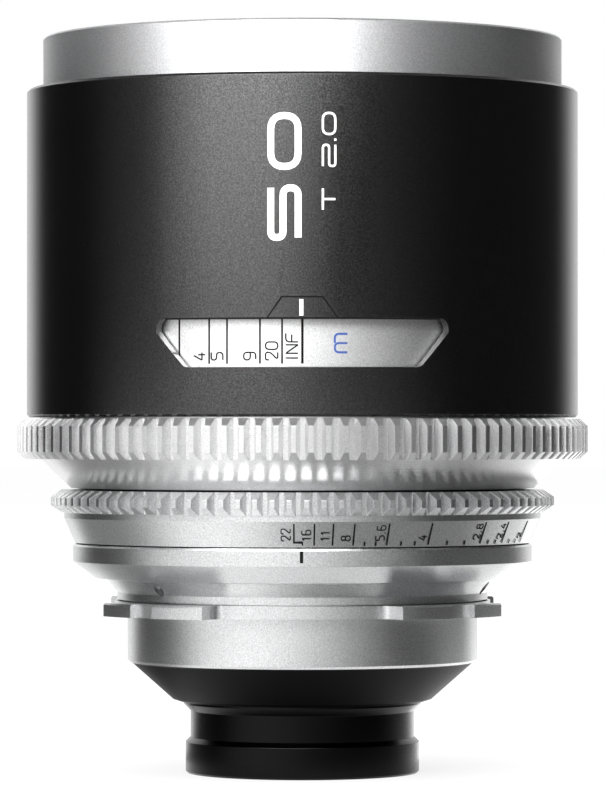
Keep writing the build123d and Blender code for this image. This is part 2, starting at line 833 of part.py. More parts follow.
plate_floor = sleeve_radius - plate_thickness
with BuildPart() as window_cutter:
    nearest = (sleeve_bore - drum_wall) * cos(radians(window_tip_angle))
    loft([window_outline(nearest), window_outline(sleeve_radius + overrun)], ruled=True)
with BuildPart() as pocket_cutter:
    tube(plate_floor, sleeve_radius + overrun, window_top - overrun, window_top + plate_height + overrun)
    extrude(plate_outline(plate_gap), amount=overrun + sleeve_radius, mode=Mode.INTERSECT)
with BuildPart() as outer_sleeve:
    turn(
        (
            (sleeve_bore, sleeve_bottom),
            (sleeve_radius - sleeve_chamfer, sleeve_bottom),
            (sleeve_radius, sleeve_bottom + sleeve_chamfer),
            (sleeve_radius, sleeve_top - sleeve_chamfer),
            (sleeve_radius - sleeve_chamfer, sleeve_top),
            (front_ring_radius + slip_gap, sleeve_top),
            (front_ring_radius + slip_gap, sleeve_top - sleeve_lip),
            (sleeve_bore, sleeve_top - sleeve_lip),
        )
    )
    add(window_cutter.part, mode=Mode.SUBTRACT)
    add(pocket_cutter.part, mode=Mode.SUBTRACT)
    for azimuth in sleeve_screw_azimuths:
        middle = sleeve_top - sleeve_lip - front_ring_spigot / 2
        radial_round(
            azimuth + index_angle, middle, sleeve_screw_radius, sleeve_bore - overrun,
            sleeve_radius + overrun, Mode.SUBTRACT,
        )
finish(outer_sleeve, "outer_sleeve")

with BuildPart() as index_plate:
    tube(plate_floor, sleeve_radius, window_top - overrun, window_top + plate_height + overrun)
    extrude(plate_outline(0), amount=overrun + sleeve_radius, mode=Mode.INTERSECT)
finish(index_plate, "index_plate")

# Front ring: screwed on the main barrel, it clamps the sleeve and takes the filter
spigot_bottom = sleeve_top - sleeve_lip - front_ring_spigot
ledge_bore = front_cell_radius + front_ring_bore_gap + cell_margin
filter_floor = front - filter_depth
baffle_bore = filter_radius - filter_ledge
baffle_seat = barrel_top + front_ring_ledge
with BuildPart() as front_ring:
    turn(
        (
            (barrel_radius + slip_gap, spigot_bottom),
            (sleeve_bore - slip_gap, spigot_bottom),
            (sleeve_bore - slip_gap, sleeve_top - sleeve_lip),
            (front_ring_radius - front_ring_relief, sleeve_top - sleeve_lip),
            (front_ring_radius - front_ring_relief, sleeve_top),
            (front_ring_radius, sleeve_top),
            (front_ring_radius, front - edge_break),
            (front_ring_radius - edge_break, front),
            (filter_radius, front),
            (filter_radius, filter_floor),
            (baffle_bore, filter_floor),
            (baffle_bore, baffle_seat),
            (ledge_bore, baffle_seat),
            (ledge_bore, barrel_top),
            (barrel_radius + slip_gap, barrel_top),
        )
    )
    for azimuth in sleeve_screw_azimuths:
        middle = sleeve_top - sleeve_lip - front_ring_spigot / 2
        radial_round(
            azimuth + index_angle, middle, sleeve_screw_radius, barrel_radius + running_gap,
            sleeve_radius, Mode.SUBTRACT,
        )
finish(front_ring, "front_ring")

with BuildPart() as sleeve_set_screws:
    for azimuth in sleeve_screw_azimuths:
        middle = sleeve_top - sleeve_lip - front_ring_spigot / 2
        radial_screw(
            azimuth + index_angle, middle, sleeve_screw_radius, barrel_radius + running_gap,
            sleeve_radius - edge_break,
        )
finish(sleeve_set_screws, "sleeve_set_screws")

baffle_outer = baffle_bore - slip_gap
with BuildPart() as front_baffle:
    turn(
        (
            (ledge_bore, baffle_seat),
            (baffle_outer, baffle_seat),
            (baffle_outer, baffle_seat + front_baffle_rise),
            (baffle_outer - front_baffle_lip, baffle_seat + front_baffle_rise),
            (ledge_bore, baffle_seat + front_baffle_lip),
        )
    )
finish(front_baffle, "front_baffle")

# Iris ring: a toothed scale ring with a bearing liner and the pin that reaches in to the iris
pin_outer = iris_land_radius - iris_pin_inset
with BuildPart() as iris_ring:
    gear_blank(
        iris_root_radius,
        iris_tip_radius,
        iris_gear_bottom,
        iris_ring_top,
        iris_tooth_chamfer,
        iris_tooth_bevel,
    )
    cut_tooth_spaces(iris_tip_radius, iris_gear_bottom, iris_ring_top)
    turn(
        (
            (liner_radius, iris_ring_bottom),
            (iris_foot_radius - edge_break / 2, iris_ring_bottom),
            (iris_foot_radius, iris_ring_bottom + edge_break),
            (iris_land_radius, iris_cone_top),
            (iris_land_radius, iris_gear_bottom),
            (iris_root_radius, iris_gear_bottom),
            (iris_root_radius, iris_ring_top),
            (liner_radius, iris_ring_top),
        )
    )
    radial_round(
        iris_pin_angle, iris_pin_height, iris_pin_radius, liner_radius - overrun, pin_outer, Mode.SUBTRACT
    )
finish(iris_ring, "iris_ring")

with BuildPart() as iris_ring_liner:
    tube(liner_bore, liner_radius, iris_ring_bottom, iris_ring_top - running_gap)
    radial_round(
        iris_pin_angle, iris_pin_height, iris_pin_radius, liner_bore - overrun, pin_outer, Mode.SUBTRACT
    )
finish(iris_ring_liner, "iris_ring_liner")

with BuildPart() as iris_drive_pin:
    radial_round(
        iris_pin_angle, iris_pin_height, iris_pin_radius - slip_gap, fork_inner_radius, pin_outer
    )
finish(iris_drive_pin, "iris_drive_pin")

# Lens carriage: slides in the main barrel and holds both cells and the iris
fork_middle = fork_inner_radius + fork_thickness / 2
fork_half_angle = slot_angle(fork_width / 2 + fork_margin, fork_inner_radius)
with BuildPart() as lens_carriage:
    turn(
        (
            (rear_cell_waist, carriage_bottom),
            (carriage_radius, carriage_bottom),
            (carriage_radius, carriage_bottom + guide_band_length),
            (carriage_radius - carriage_relief, carriage_bottom + guide_band_length),
            (carriage_radius - carriage_relief, carriage_top - guide_band_length),
            (carriage_radius, carriage_top - guide_band_length),
            (carriage_radius, carriage_top),
            (carriage_bore, carriage_top),
            (carriage_bore, base_plate_bottom),
            (iris_bore, base_plate_bottom),
            (iris_bore, carriage_floor),
            (rear_cell_waist, carriage_floor),
        )
    )
    arc_band(
        fork_inner_radius - fork_margin,
        fork_inner_radius + fork_thickness + fork_margin,
        iris_pin_angle - iris_throw - fork_half_angle,
        iris_throw + 2 * fork_half_angle,
        carriage_bottom - overrun,
        carriage_floor + overrun,
        Mode.SUBTRACT,
    )
    for angle in follower_angles:
        radial_round(
            angle, follower_height, follower_pin_radius, carriage_bore - overrun,
            carriage_radius + overrun, Mode.SUBTRACT,
        )
finish(lens_carriage, "lens_carriage")

with BuildPart() as cam_follower_pins:
    for angle in follower_angles:
        radial_round(
            angle, follower_height, follower_pin_radius, carriage_bore + slip_gap, cam_radius - ring_gap
        )
finish(cam_follower_pins, "cam_follower_pins")

with BuildPart() as cam_follower_sleeves:
    for angle in follower_angles:
        inner, outer = carriage_radius - carriage_relief + slip_gap, cam_radius - ring_gap
        radial_round(angle, follower_height, follower_radius, inner, outer)
        radial_round(angle, follower_height, follower_pin_radius, inner, outer, Mode.SUBTRACT)
finish(cam_follower_sleeves, "cam_follower_sleeves")

# Front cell and its glass, from the front element in to the iris
front_edge = front_centre + front_glass_sag
front_rear_edge = front_rear_centre + front_glass_rear_sag
second_rear_edge = second_rear_centre + second_glass_rear_sag
flint_rear_edge = front_flint_rear_centre + front_flint_rear_sag
front_lock_bore = front_glass_radius - glass_ledge / 2
front_lock_seat = height_at(front_lock_bore, front_glass_radius, front_centre, front_glass_sag)
second_lock_bore = second_radius - spacer_width
second_lock_seat = height_at(second_lock_bore, second_radius, second_centre, second_glass_sag)
crown_ring_bore = crown_radius - spacer_width
crown_ring_seat = height_at(crown_ring_bore, crown_radius, crown_centre, crown_sag)
seat_bore = front_glass_radius + running_gap
second_bore = second_radius + running_gap
crown_bore = crown_radius + running_gap
cell_body_radius = carriage_bore - slip_gap
with BuildPart() as front_cell:
    turn(
        (
            (crown_bore - glass_ledge, front_cell_bottom),
            (cell_body_radius, front_cell_bottom),
            (cell_body_radius, carriage_top),
            (front_cell_radius, carriage_top),
            (front_cell_radius, front_cell_top - edge_break),
            (front_cell_radius - edge_break, front_cell_top),
            (front_lock_radius, front_cell_top),
            (front_lock_radius, front_edge),
            (seat_bore, front_edge),
            (seat_bore, front_rear_edge),
            (second_bore, front_rear_edge),
            (second_bore, second_rear_edge),
            (crown_bore, second_rear_edge),
            (crown_bore, flint_rear_edge),
            (crown_bore - glass_ledge, flint_rear_edge),
        )
    )
finish(front_cell, "front_cell")

with BuildPart() as front_element:
    glass(front_glass_radius, front_rear_centre, front_glass_rear_sag, front_centre, front_glass_sag)
finish(front_element, "front_element")

with BuildPart() as second_element:
    glass(second_radius, second_rear_centre, second_glass_rear_sag, second_centre, second_glass_sag)
finish(second_element, "second_element")

with BuildPart() as front_doublet_crown:
    glass(crown_radius, front_cement, 0, crown_centre, crown_sag)
finish(front_doublet_crown, "front_doublet_crown")

with BuildPart() as front_doublet_flint:
    glass(crown_radius, front_flint_rear_centre, front_flint_rear_sag, front_cement, 0)
finish(front_doublet_flint, "front_doublet_flint")

with BuildPart() as front_retaining_ring:
    turn(
        (
            (front_lock_bore, front_lock_seat),
            (front_lock_radius - slip_gap, front_lock_seat),
            (front_lock_radius - slip_gap, front_cell_top - edge_break),
            (front_lock_bore + front_lock_slope, front_cell_top - edge_break),
        )
    )
finish(front_retaining_ring, "front_retaining_ring")

with BuildPart() as second_lock_ring:
    tube(second_lock_bore, second_radius, second_lock_seat, second_lock_seat + lock_ring_height)
finish(second_lock_ring, "second_lock_ring")

with BuildPart() as front_spacer_ring:
    tube(crown_ring_bore, crown_radius, crown_ring_seat, second_rear_edge)
finish(front_spacer_ring, "front_spacer_ring")

# Rear cell and its glass, from the iris out to the last element
rear_flint_edge = rear_flint_centre + rear_flint_sag
ledge_radius = rear_cell_bore - glass_ledge
crown_seat = height_at(ledge_radius, rear_glass_radius, rear_crown_centre, rear_crown_rear_sag)
positive_seat = height_at(ledge_radius, rear_glass_radius, positive_centre, positive_sag)
spacer_bore = rear_glass_radius - spacer_width
spacer_top = height_at(spacer_bore, rear_glass_radius, positive_rear_centre, positive_rear_sag)
spacer_bottom = height_at(spacer_bore, rear_glass_radius, last_centre, last_glass_sag)
end_ring_bore = spacer_bore - spacer_width
end_ring_seat = height_at(end_ring_bore, rear_glass_radius, last_rear_centre, last_glass_rear_sag)
groove_top = rear_end_ring_top + groove_length
rear_neck = groove_top + groove_chamfer + rear_cell_neck_height
with BuildPart() as rear_cell:
    turn(
        (
            (rear_cell_bore, rear_end_ring_top),
            (groove_radius, rear_end_ring_top),
            (groove_radius, groove_top),
            (rear_cell_radius, groove_top + groove_chamfer),
            (rear_cell_radius, rear_neck),
            (rear_cell_waist - slip_gap, rear_neck + rear_cell_shoulder),
            (rear_cell_waist - slip_gap, rear_cell_flange_bottom),
            (rear_cell_waist + rear_cell_flange_width, rear_cell_flange_bottom),
            (rear_cell_waist + rear_cell_flange_width, carriage_bottom),
            (rear_cell_waist - slip_gap, carriage_bottom),
            (rear_cell_waist - slip_gap, carriage_floor),
            (rear_cell_bore, carriage_floor),
            (rear_cell_bore, crown_seat),
            (ledge_radius, crown_seat),
            (ledge_radius, positive_seat),
            (rear_cell_bore, positive_seat),
        )
    )
finish(rear_cell, "rear_cell")

with BuildPart() as rear_doublet_flint:
    glass(rear_glass_radius, rear_cement, 0, rear_flint_centre, rear_flint_sag)
finish(rear_doublet_flint, "rear_doublet_flint")

with BuildPart() as rear_doublet_crown:
    glass(rear_glass_radius, rear_crown_centre, rear_crown_rear_sag, rear_cement, 0)
finish(rear_doublet_crown, "rear_doublet_crown")

with BuildPart() as rear_doublet_lock_ring:
    tube(rear_glass_radius - spacer_width, rear_glass_radius, rear_flint_edge, carriage_bottom)
finish(rear_doublet_lock_ring, "rear_doublet_lock_ring")

with BuildPart() as rear_positive_element:
    glass(rear_glass_radius, positive_rear_centre, positive_rear_sag, positive_centre, positive_sag)
finish(rear_positive_element, "rear_positive_element")

with BuildPart() as rear_spacer:
    tube(spacer_bore, rear_glass_radius, spacer_bottom, spacer_top)
finish(rear_spacer, "rear_spacer")

with BuildPart() as rear_element:
    glass(rear_glass_radius, last_rear_centre, last_glass_rear_sag, last_centre, last_glass_sag)
finish(rear_element, "rear_element")

end_ring_radius = groove_radius + end_ring_chamfer
with BuildPart() as rear_retaining_ring:
    turn(
        (
            (spacer_bore, -rear_reach),
            (end_ring_radius - edge_break, -rear_reach),
            (end_ring_radius, edge_break - rear_reach),
            (end_ring_radius, rear_end_ring_top - end_ring_chamfer),
            (groove_radius, rear_end_ring_top),
            (rear_glass_radius, rear_end_ring_top),
            (rear_glass_radius, end_ring_seat),
            (end_ring_bore, end_ring_seat),
        )
    )
finish(rear_retaining_ring, "rear_retaining_ring")

# Iris: a fixed base plate in front, nine leaves, and a turning plate whose slots swing them
blade_angles = [index * full_turn / blade_count for index in range(blade_count)]


def swung_pin(swing):
    """Radius and angle of a leaf's drive pin when the leaf has swung this far from open."""
    arm = radians(blade_arm_angle + swing)
    x = blade_pivot_radius + blade_arm * cos(arm)
    y = blade_arm * sin(arm)
    return hypot(x, y), degrees(atan2(y, x))


def plate_point(share):
    """A point of the drive slot at rest, from open at share 0 to closed at share 1."""
    radius, angle = swung_pin(blade_swing * share)
    return direction(angle + iris_throw * (1 - share)) * radius


base_plate_radius = carriage_bore - slip_gap
with BuildPart() as iris_base_plate:
    tube(iris_opening, base_plate_radius, base_plate_bottom, base_plate_top)
    with BuildSketch(Plane.XY.offset(base_plate_bottom - overrun)) as pivot_holes:
        with PolarLocations(blade_pivot_radius, blade_count):
            Circle(blade_pin_radius + running_gap)
    extrude(pivot_holes.sketch, amount=overrun + 2 * iris_plate_thickness, mode=Mode.SUBTRACT)
finish(iris_base_plate, "iris_base_plate")

with BuildPart() as iris_retaining_ring:
    tube(
        blade_pivot_radius + iris_retaining_step, base_plate_radius, base_plate_top,
        base_plate_top + iris_retaining_height,
    )
finish(iris_retaining_ring, "iris_retaining_ring")

slot_width = 2 * (blade_pin_radius + blade_pin_gap)
with BuildPart() as iris_cam_plate:
    tube(iris_opening, iris_bore - running_gap, cam_plate_bottom, cam_plate_top)
    with BuildLine() as slot_line:
        ThreePointArc(*[plate_point(step / 2) for step in range(3)])
    with BuildSketch(Plane.XY.offset(cam_plate_bottom - overrun)) as drive_slots:
        with PolarLocations(0, blade_count):
            SlotArc(slot_line.line.edge(), slot_width)
    extrude(drive_slots.sketch, amount=overrun + 2 * iris_plate_thickness, mode=Mode.SUBTRACT)
finish(iris_cam_plate, "iris_cam_plate")

fork_bottom = iris_pin_height - fork_reach
fork_plane_side = direction(iris_pin_angle)
with BuildPart() as iris_fork:
    fork_plane = Plane(
        origin=fork_plane_side * fork_middle + Vector(0, 0, fork_bottom),
        x_dir=fork_plane_side,
        z_dir=(0, 0, 1),
    )
    with BuildSketch(fork_plane) as fork_section:
        Rectangle(fork_thickness, fork_width)
    extrude(fork_section.sketch, amount=cam_plate_bottom - fork_bottom)
    tine_gap = 2 * (iris_pin_radius + fork_slot_gap)
    with BuildSketch(fork_plane.offset(-overrun)) as tine_slot:
        Rectangle(fork_thickness + overrun, tine_gap)
    tine_length = carriage_bottom - fork_bottom
    extrude(tine_slot.sketch, amount=tine_length + overrun, mode=Mode.SUBTRACT)
finish(iris_fork, "iris_fork")

arm_tip = (blade_arm * cos(radians(blade_arm_angle)), blade_arm * sin(radians(blade_arm_angle)))
strip_middle = blade_outer_radius - blade_ear_radius - blade_pivot_radius
for index, angle in enumerate(blade_angles):
    level = blade_bottom + index * blade_pitch
    swung = direction(angle + blade_swing)
    leaf_plane = Plane(
        origin=direction(angle) * blade_pivot_radius + Vector(0, 0, level),
        x_dir=swung,
        z_dir=(0, 0, 1),
    )
    with BuildPart() as iris_blade:
        with BuildSketch(leaf_plane) as leaf:
            with BuildSketch(mode=Mode.PRIVATE) as strip:
                with BuildLine():
                    band_outline(blade_inner_radius, blade_outer_radius, 0, blade_span)
                make_face()
            with Locations((-blade_pivot_radius, 0)):
                add(strip.sketch)
            with Locations((0, 0), arm_tip):
                Circle(blade_ear_radius)
            Polygon((0, 0), (strip_middle, 0), (strip_middle, arm_tip[1]), arm_tip, align=None)
        extrude(amount=blade_thickness)
        with BuildSketch(leaf_plane) as pivot_pin:
            Circle(blade_pin_radius)
        extrude(amount=base_plate_top - blade_pin_inset - level)
        with BuildSketch(leaf_plane.offset(cam_plate_bottom + blade_pin_inset - level)) as drive_pin:
            with Locations(arm_tip):
                Circle(blade_pin_radius)
        extrude(amount=level - cam_plate_bottom - blade_pin_inset)
    finish(iris_blade, f"iris_blade_{index + 1}")
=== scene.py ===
# %% [markdown]
# # A cinema prime lens, dressed for the studio
# The solids of the lens come in as a fixed frame: every ring, screw and glass is already at its
# real size, in metres, with the optical axis on Z and the front of the lens up. This lesson adds
# what a machinist, an anodiser and an engraver would add: finishes, scales, numbers, threads and
# light traps. The scene is Python from start to end, so each piece follows the solids exactly.

# %% Load the solids
from math import atan, ceil, cos, degrees, radians, sin

import bpy
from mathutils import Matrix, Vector


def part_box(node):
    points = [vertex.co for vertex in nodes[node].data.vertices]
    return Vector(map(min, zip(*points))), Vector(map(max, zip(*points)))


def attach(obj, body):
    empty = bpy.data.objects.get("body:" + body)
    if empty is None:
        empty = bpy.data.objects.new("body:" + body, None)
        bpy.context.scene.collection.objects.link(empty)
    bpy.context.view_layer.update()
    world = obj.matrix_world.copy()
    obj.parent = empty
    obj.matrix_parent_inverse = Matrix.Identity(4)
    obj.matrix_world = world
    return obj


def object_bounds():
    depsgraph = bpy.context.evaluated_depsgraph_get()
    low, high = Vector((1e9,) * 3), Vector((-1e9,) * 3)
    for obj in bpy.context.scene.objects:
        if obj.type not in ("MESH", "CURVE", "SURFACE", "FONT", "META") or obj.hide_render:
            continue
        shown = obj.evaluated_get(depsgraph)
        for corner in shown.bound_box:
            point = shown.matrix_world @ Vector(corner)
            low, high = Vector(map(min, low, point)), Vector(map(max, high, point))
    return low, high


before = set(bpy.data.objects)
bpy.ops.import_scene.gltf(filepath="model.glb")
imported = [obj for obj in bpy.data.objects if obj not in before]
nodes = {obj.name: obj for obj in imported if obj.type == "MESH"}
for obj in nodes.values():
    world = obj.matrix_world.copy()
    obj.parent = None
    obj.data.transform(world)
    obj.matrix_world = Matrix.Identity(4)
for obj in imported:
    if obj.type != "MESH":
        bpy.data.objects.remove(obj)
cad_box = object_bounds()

millimetre = 0.001

# %% [markdown]
# ## The camera
# The lens is photographed from straight in front, at the height of its focus gear, with a long
# lens. A short distance would show more of the undersides, and a zoomed-out one would flatten
# the gears, so the distance is the one at which the drawn ellipses of the rings agree. The
# picture is 606 by 800 dots. The focal length follows from how many dots a millimetre takes.

# %% Place the camera
picture_width, picture_height = 606, 800
focal_dots = 4750
camera_distance = 734 * millimetre
eye_height = 28.2 * millimetre
axis_column, eye_row = 302.4, 430

camera_data = bpy.data.cameras.new("studio_camera")
camera_data.sensor_width = 36
camera_data.lens = camera_data.sensor_width * focal_dots / picture_height
camera = bpy.data.objects.new("studio_camera", camera_data)
bpy.context.scene.collection.objects.link(camera)
aside = (picture_width / 2 - axis_column) / focal_dots * camera_distance
camera.location = (aside, -camera_distance, eye_height)
tilt_up = atan((eye_row - picture_height / 2) / focal_dots)
camera.rotation_euler = (radians(90) + tilt_up, 0, 0)
bpy.context.scene.camera = camera
bpy.context.scene.view_settings.view_transform = "Standard"
print("focal length", round(camera_data.lens, 2), "mm, tilted up", round(degrees(tilt_up), 2))

# %% [markdown]
# ## Sums on sockets
# A procedural finish is mostly sums: a height times a scale, a noise minus a half. Wiring a Math
# node by hand for each one hides the formula. This small class wraps a node's socket, so that
# Python's own + - * and ** write the Math nodes. Numbers on the left work too, as in 1 - mask.
# Colours and vectors never pass through here: a Math node would turn them grey.


# %% A socket that does sums
class Socket:
    """A number that comes out of a node and can stand in a Python sum."""

    def __init__(self, recipe, link):
        self.recipe = recipe
        self.link = link

    def sum(self, operation, first, second):
        """One Math node on two numbers or sockets."""
        return self.recipe.node("ShaderNodeMath", {"operation": operation}, {0: first, 1: second})

    def __add__(self, other):
        return self.sum("ADD", self, other)

    __radd__ = __add__

    def __sub__(self, other):
        return self.sum("SUBTRACT", self, other)

    def __rsub__(self, other):
        return self.sum("SUBTRACT", other, self)

    def __mul__(self, other):
        return self.sum("MULTIPLY", self, other)

    __rmul__ = __mul__

    def __pow__(self, other):
        return self.sum("POWER", self, other)

    def size(self):
        """The number without its sign."""
        return self.sum("ABSOLUTE", self, 0)

    def larger(self, other):
        """The larger one of two numbers."""
        return self.sum("MAXIMUM", self, other)


print("sums on sockets are ready")

# %% [markdown]
# ## A recipe for a finish
# Every finish below is one Recipe: a material whose nodes are all made by the method `node`. It
# takes the type of the node, its settings, which Blender wants first because they can change the
# sockets, and then the values or links of its sockets. It hands back one output as a Socket.
# The other methods are the few measurements that the finishes share: where a point lies about
# the axis, and how a worn or turned surface varies.


# %% The recipe class
class Recipe:
    """A material under construction, whose nodes all come from one method."""

    def __init__(self, name, owner=None):
        self.owner = owner or bpy.data.materials.new(name)
        self.owner.use_nodes = True
        self.tree = self.owner.node_tree
        self.tree.nodes.clear()

    def node(self, kind, settings=None, sockets=None, output=0):
        """Make one node, set it up, fill its sockets and hand back one of its outputs."""
        made = self.tree.nodes.new(kind)
        for setting, value in (settings or {}).items():
            setattr(made, setting, value)
        for name, value in (sockets or {}).items():
            if isinstance(value, Socket):
                self.tree.links.new(value.link, made.inputs[name])
            else:
                made.inputs[name].default_value = value
        return Socket(self, made.outputs[output]) if len(made.outputs) else made

    def place(self):
        """The point's own coordinates, in metres from the middle of the mount's seat."""
        return self.node("ShaderNodeTexCoord", output="Object")

    def axes(self):
        """The point's x, y and height as three numbers."""
        split = self.node("ShaderNodeSeparateXYZ", sockets={"Vector": self.place()})
        sides = split.link.node.outputs
        return [Socket(self, sides[axis]) for axis in ("X", "Y", "Z")]

    def spokes(self):
        """The distance from the optical axis."""
        x, y, height = self.axes()
        return (x * x + y * y) ** 0.5

    def noise(self, size, detail=2.0, stretch=(1, 1, 1)):
        """A cloudy number from 0 to 1, about a half on average, with clouds of the given size."""
        stretched = self.node(
            "ShaderNodeVectorMath", {"operation": "MULTIPLY"}, {0: self.place(), 1: stretch}
        )
        return self.node(
            "ShaderNodeTexNoise",
            sockets={"Vector": stretched, "Scale": 1 / size, "Detail": detail, "Roughness": 0.55},
        )

    def grain(self, size, contrast=3.0):
        """A fine speckle of the given size, spread out to reach from 0 to 1."""
        return (self.noise(size, 1.0) - 0.5) * contrast + 0.5

    def tool_lines(self, pitch):
        """Marks of a turning tool: they follow the height on a wall and the radius on a face."""
        true_normal = self.node("ShaderNodeNewGeometry", output="Normal")
        facing = self.node("ShaderNodeSeparateXYZ", sockets={"Vector": true_normal})
        upward = Socket(self, facing.link.node.outputs["Z"])
        along = self.axes()[2] + self.spokes() * upward.size()
        return self.node(
            "ShaderNodeTexNoise",
            {"noise_dimensions": "1D"},
            {"W": along, "Scale": 1 / pitch, "Detail": 3.0},
        )

    def between(self, share, first, second):
        """Mix two colours, or links to colours, by a share from 0 to 1."""
        first, second = (one if isinstance(one, Socket) else (*one, 1) for one in (first, second))
        mixed = {0: share, 6: first, 7: second}
        return self.node("ShaderNodeMix", {"data_type": "RGBA"}, mixed, output=2)

    def bump(self, relief, depth, strength, normal=None):
        """Tilt the surface as if the relief, from 0 to 1, were cut to this depth."""
        sockets = {"Height": relief, "Distance": depth, "Strength": strength}
        if normal is not None:
            sockets["Normal"] = normal
        return self.node("ShaderNodeBump", sockets=sockets)

    def surface(self, sockets):
        """Finish the recipe with one Principled surface and return the material."""
        shader = self.node("ShaderNodeBsdfPrincipled", sockets=sockets)
        self.node("ShaderNodeOutputMaterial", sockets={"Surface": shader})
        return self.owner


print("recipes are ready")

# %% [markdown]
# ## Meshes from points
# Nothing here starts from a ready-made cube or cylinder. Each new piece is a list of corners and
# a list of faces that name them. The points are already in the lens's own frame, in metres, so
# the object stays at the origin. Points about the axis are given as an angle from the camera's
# side, a radius and a height, which is how a turned part is measured on its drawing.


# %% Points and meshes
def round_the_lens(azimuth, radius, height):
    """A point at an angle from the camera's side of the lens, positive to the right."""
    turned = radians(azimuth)
    return Vector((radius * sin(turned), -radius * cos(turned), height))


def mesh_piece(name, corners, faces):
    """Make a mesh object from corner points and faces, in the lens's own frame."""
    mesh = bpy.data.meshes.new(name)
    mesh.from_pydata([tuple(corner) for corner in corners], [], faces)
    mesh.validate()
    piece = bpy.data.objects.new(name, mesh)
    bpy.context.scene.collection.objects.link(piece)
    return piece


print("10 mm in front of the axis:", [round(part, 4) for part in round_the_lens(0, 0.01, 0)])

# %% [markdown]
# ## Studio: floor and background
# A product picture on white needs a floor that stays white round the lens and still holds its
# soft shadow. The floor is a real surface with a pale matte paint, lit by the lamps. Light Path
# blends most of it into plain white for the camera alone, so it runs into the white of the
# background with no horizon. The light that falls on the lens isn't changed by that.


# %% Paint the floor
def seen_directly(recipe):
    """One for camera, mirror and glass rays, and nothing for the light that falls on things."""
    kinds = ("Is Camera Ray", "Is Glossy Ray", "Is Transmission Ray")
    camera_ray, glossy_ray, glass_ray = (
        recipe.node("ShaderNodeLightPath", output=kind) for kind in kinds
    )
    return camera_ray.larger(glossy_ray).larger(glass_ray)


floor_height = cad_box[0][2]
floor_reach = 6.0
floor_steps = 24
floor_white_share = 0.8
floor_turns = [360 * step / floor_steps for step in range(floor_steps)]
floor_rim = [round_the_lens(turn, floor_reach, floor_height) for turn in floor_turns]
floor = mesh_piece("studio_floor", floor_rim, [list(range(floor_steps))])

recipe = Recipe("pale_floor_paint")
pale = recipe.between(recipe.noise(330 * millimetre), (0.92, 0.92, 0.92), (0.95, 0.95, 0.95))
matte = recipe.node("ShaderNodeBsdfDiffuse", sockets={"Color": pale})
white = recipe.node("ShaderNodeEmission", sockets={"Color": (1, 1, 1, 1), "Strength": 1.0})
share = seen_directly(recipe) * floor_white_share
shown = recipe.node("ShaderNodeMixShader", sockets={0: share, 1: matte, 2: white})
recipe.node("ShaderNodeOutputMaterial", sockets={"Surface": shown})
floor.data.materials.append(recipe.owner)
print("floor at", round(floor_height / millimetre, 2), "mm, its reach", floor_reach, "m")

# %% [markdown]
# ## Studio: the room
# The room is plain white to look at, for the camera, for mirrors and through glass. It lights
# the floor and the matte pieces evenly from all sides, as white walls would.

# %% Light the room
room_light = 1.0
world = bpy.data.worlds.new("studio_world")
bpy.context.scene.world = world
recipe = Recipe("studio_world", world)
room = recipe.node("ShaderNodeBackground", sockets={"Color": (1, 1, 1, 1), "Strength": room_light})
recipe.node("ShaderNodeOutputWorld", sockets={"Surface": room})
print("the room lights the lens at", room_light)

# %% [markdown]
# ## Studio: the lamps
# One soft box stands in front to the left, and a wide one hangs above, which makes the soft
# shadow round the foot. They light the floor and everything matte. Mirrors don't see them: what
# the metal shows is drawn on the wall of the next step, as a photographer's cards do.


# %% Place the lamps
def soft_lamp(name, azimuth, distance, height, width, tall, power):
    """A rectangular soft box that looks at the lens and that mirrors don't see."""
    lamp_data = bpy.data.lights.new(name, "AREA")
    lamp_data.shape = "RECTANGLE"
    lamp_data.size = width
    lamp_data.size_y = tall
    lamp_data.energy = power
    lamp = bpy.data.objects.new(name, lamp_data)
    bpy.context.scene.collection.objects.link(lamp)
    lamp.location = round_the_lens(azimuth, distance, height)
    lamp.rotation_euler = (lens_middle - lamp.location).to_track_quat("-Z", "Y").to_euler()
    lamp.visible_glossy = False
    print(name, "of", power, "W stands at", [round(part, 2) for part in lamp.location])


lens_middle = Vector((0, 0, (cad_box[0][2] + cad_box[1][2]) / 2))
soft_lamp("key_lamp", azimuth=-22, distance=1.0, height=0.40, width=0.5, tall=0.9, power=9.0)
soft_lamp("top_lamp", azimuth=-10, distance=0.3, height=1.2, width=1.2, tall=1.2, power=16.0)

# %% [markdown]
# ## Studio: the reflection wall
# A satin cylinder shows what stands round it as upright bands. A product photographer puts
# white and black cards round the lens for that: a tall bright one in front and to the left for
# the long highlight down the sleeve, a wide low one for the rings, and black ones at both sides,
# without which aluminium on white has no edges. Here the cards are painted on one round wall
# with a floor and a ceiling. Only mirrors and glass see it, and it casts no shadow.


# %% Build the wall
def turned_sheet(profile, steps):
    """Corners and faces of an open profile of (radius, height) pairs, turned round the axis."""
    turns = [360 * step / steps for step in range(steps)]
    corners = [round_the_lens(turn, *point) for turn in turns for point in profile]
    rows = len(profile)
    faces = []
    for step in range(steps):
        here, beside = step * rows, (step + 1) % steps * rows
        faces += [
            (here + row, beside + row, beside + row + 1, here + row + 1) for row in range(rows - 1)
        ]
    return corners, faces


wall_distance, wall_top = 0.25, 0.9
wall_foot = floor_height + 0.5 * millimetre
floor_hole, ceiling_hole = 0.03, 0.01
wall_profile = [(floor_hole, wall_foot), (wall_distance, wall_foot)]
wall_profile += [(wall_distance, wall_top), (ceiling_hole, wall_top)]
wall = mesh_piece("reflection_wall", *turned_sheet(wall_profile, 72))
wall.visible_camera = False
wall.visible_diffuse = False
wall.visible_shadow = False
print("wall", wall_distance, "m from the axis and", wall_top, "m high")

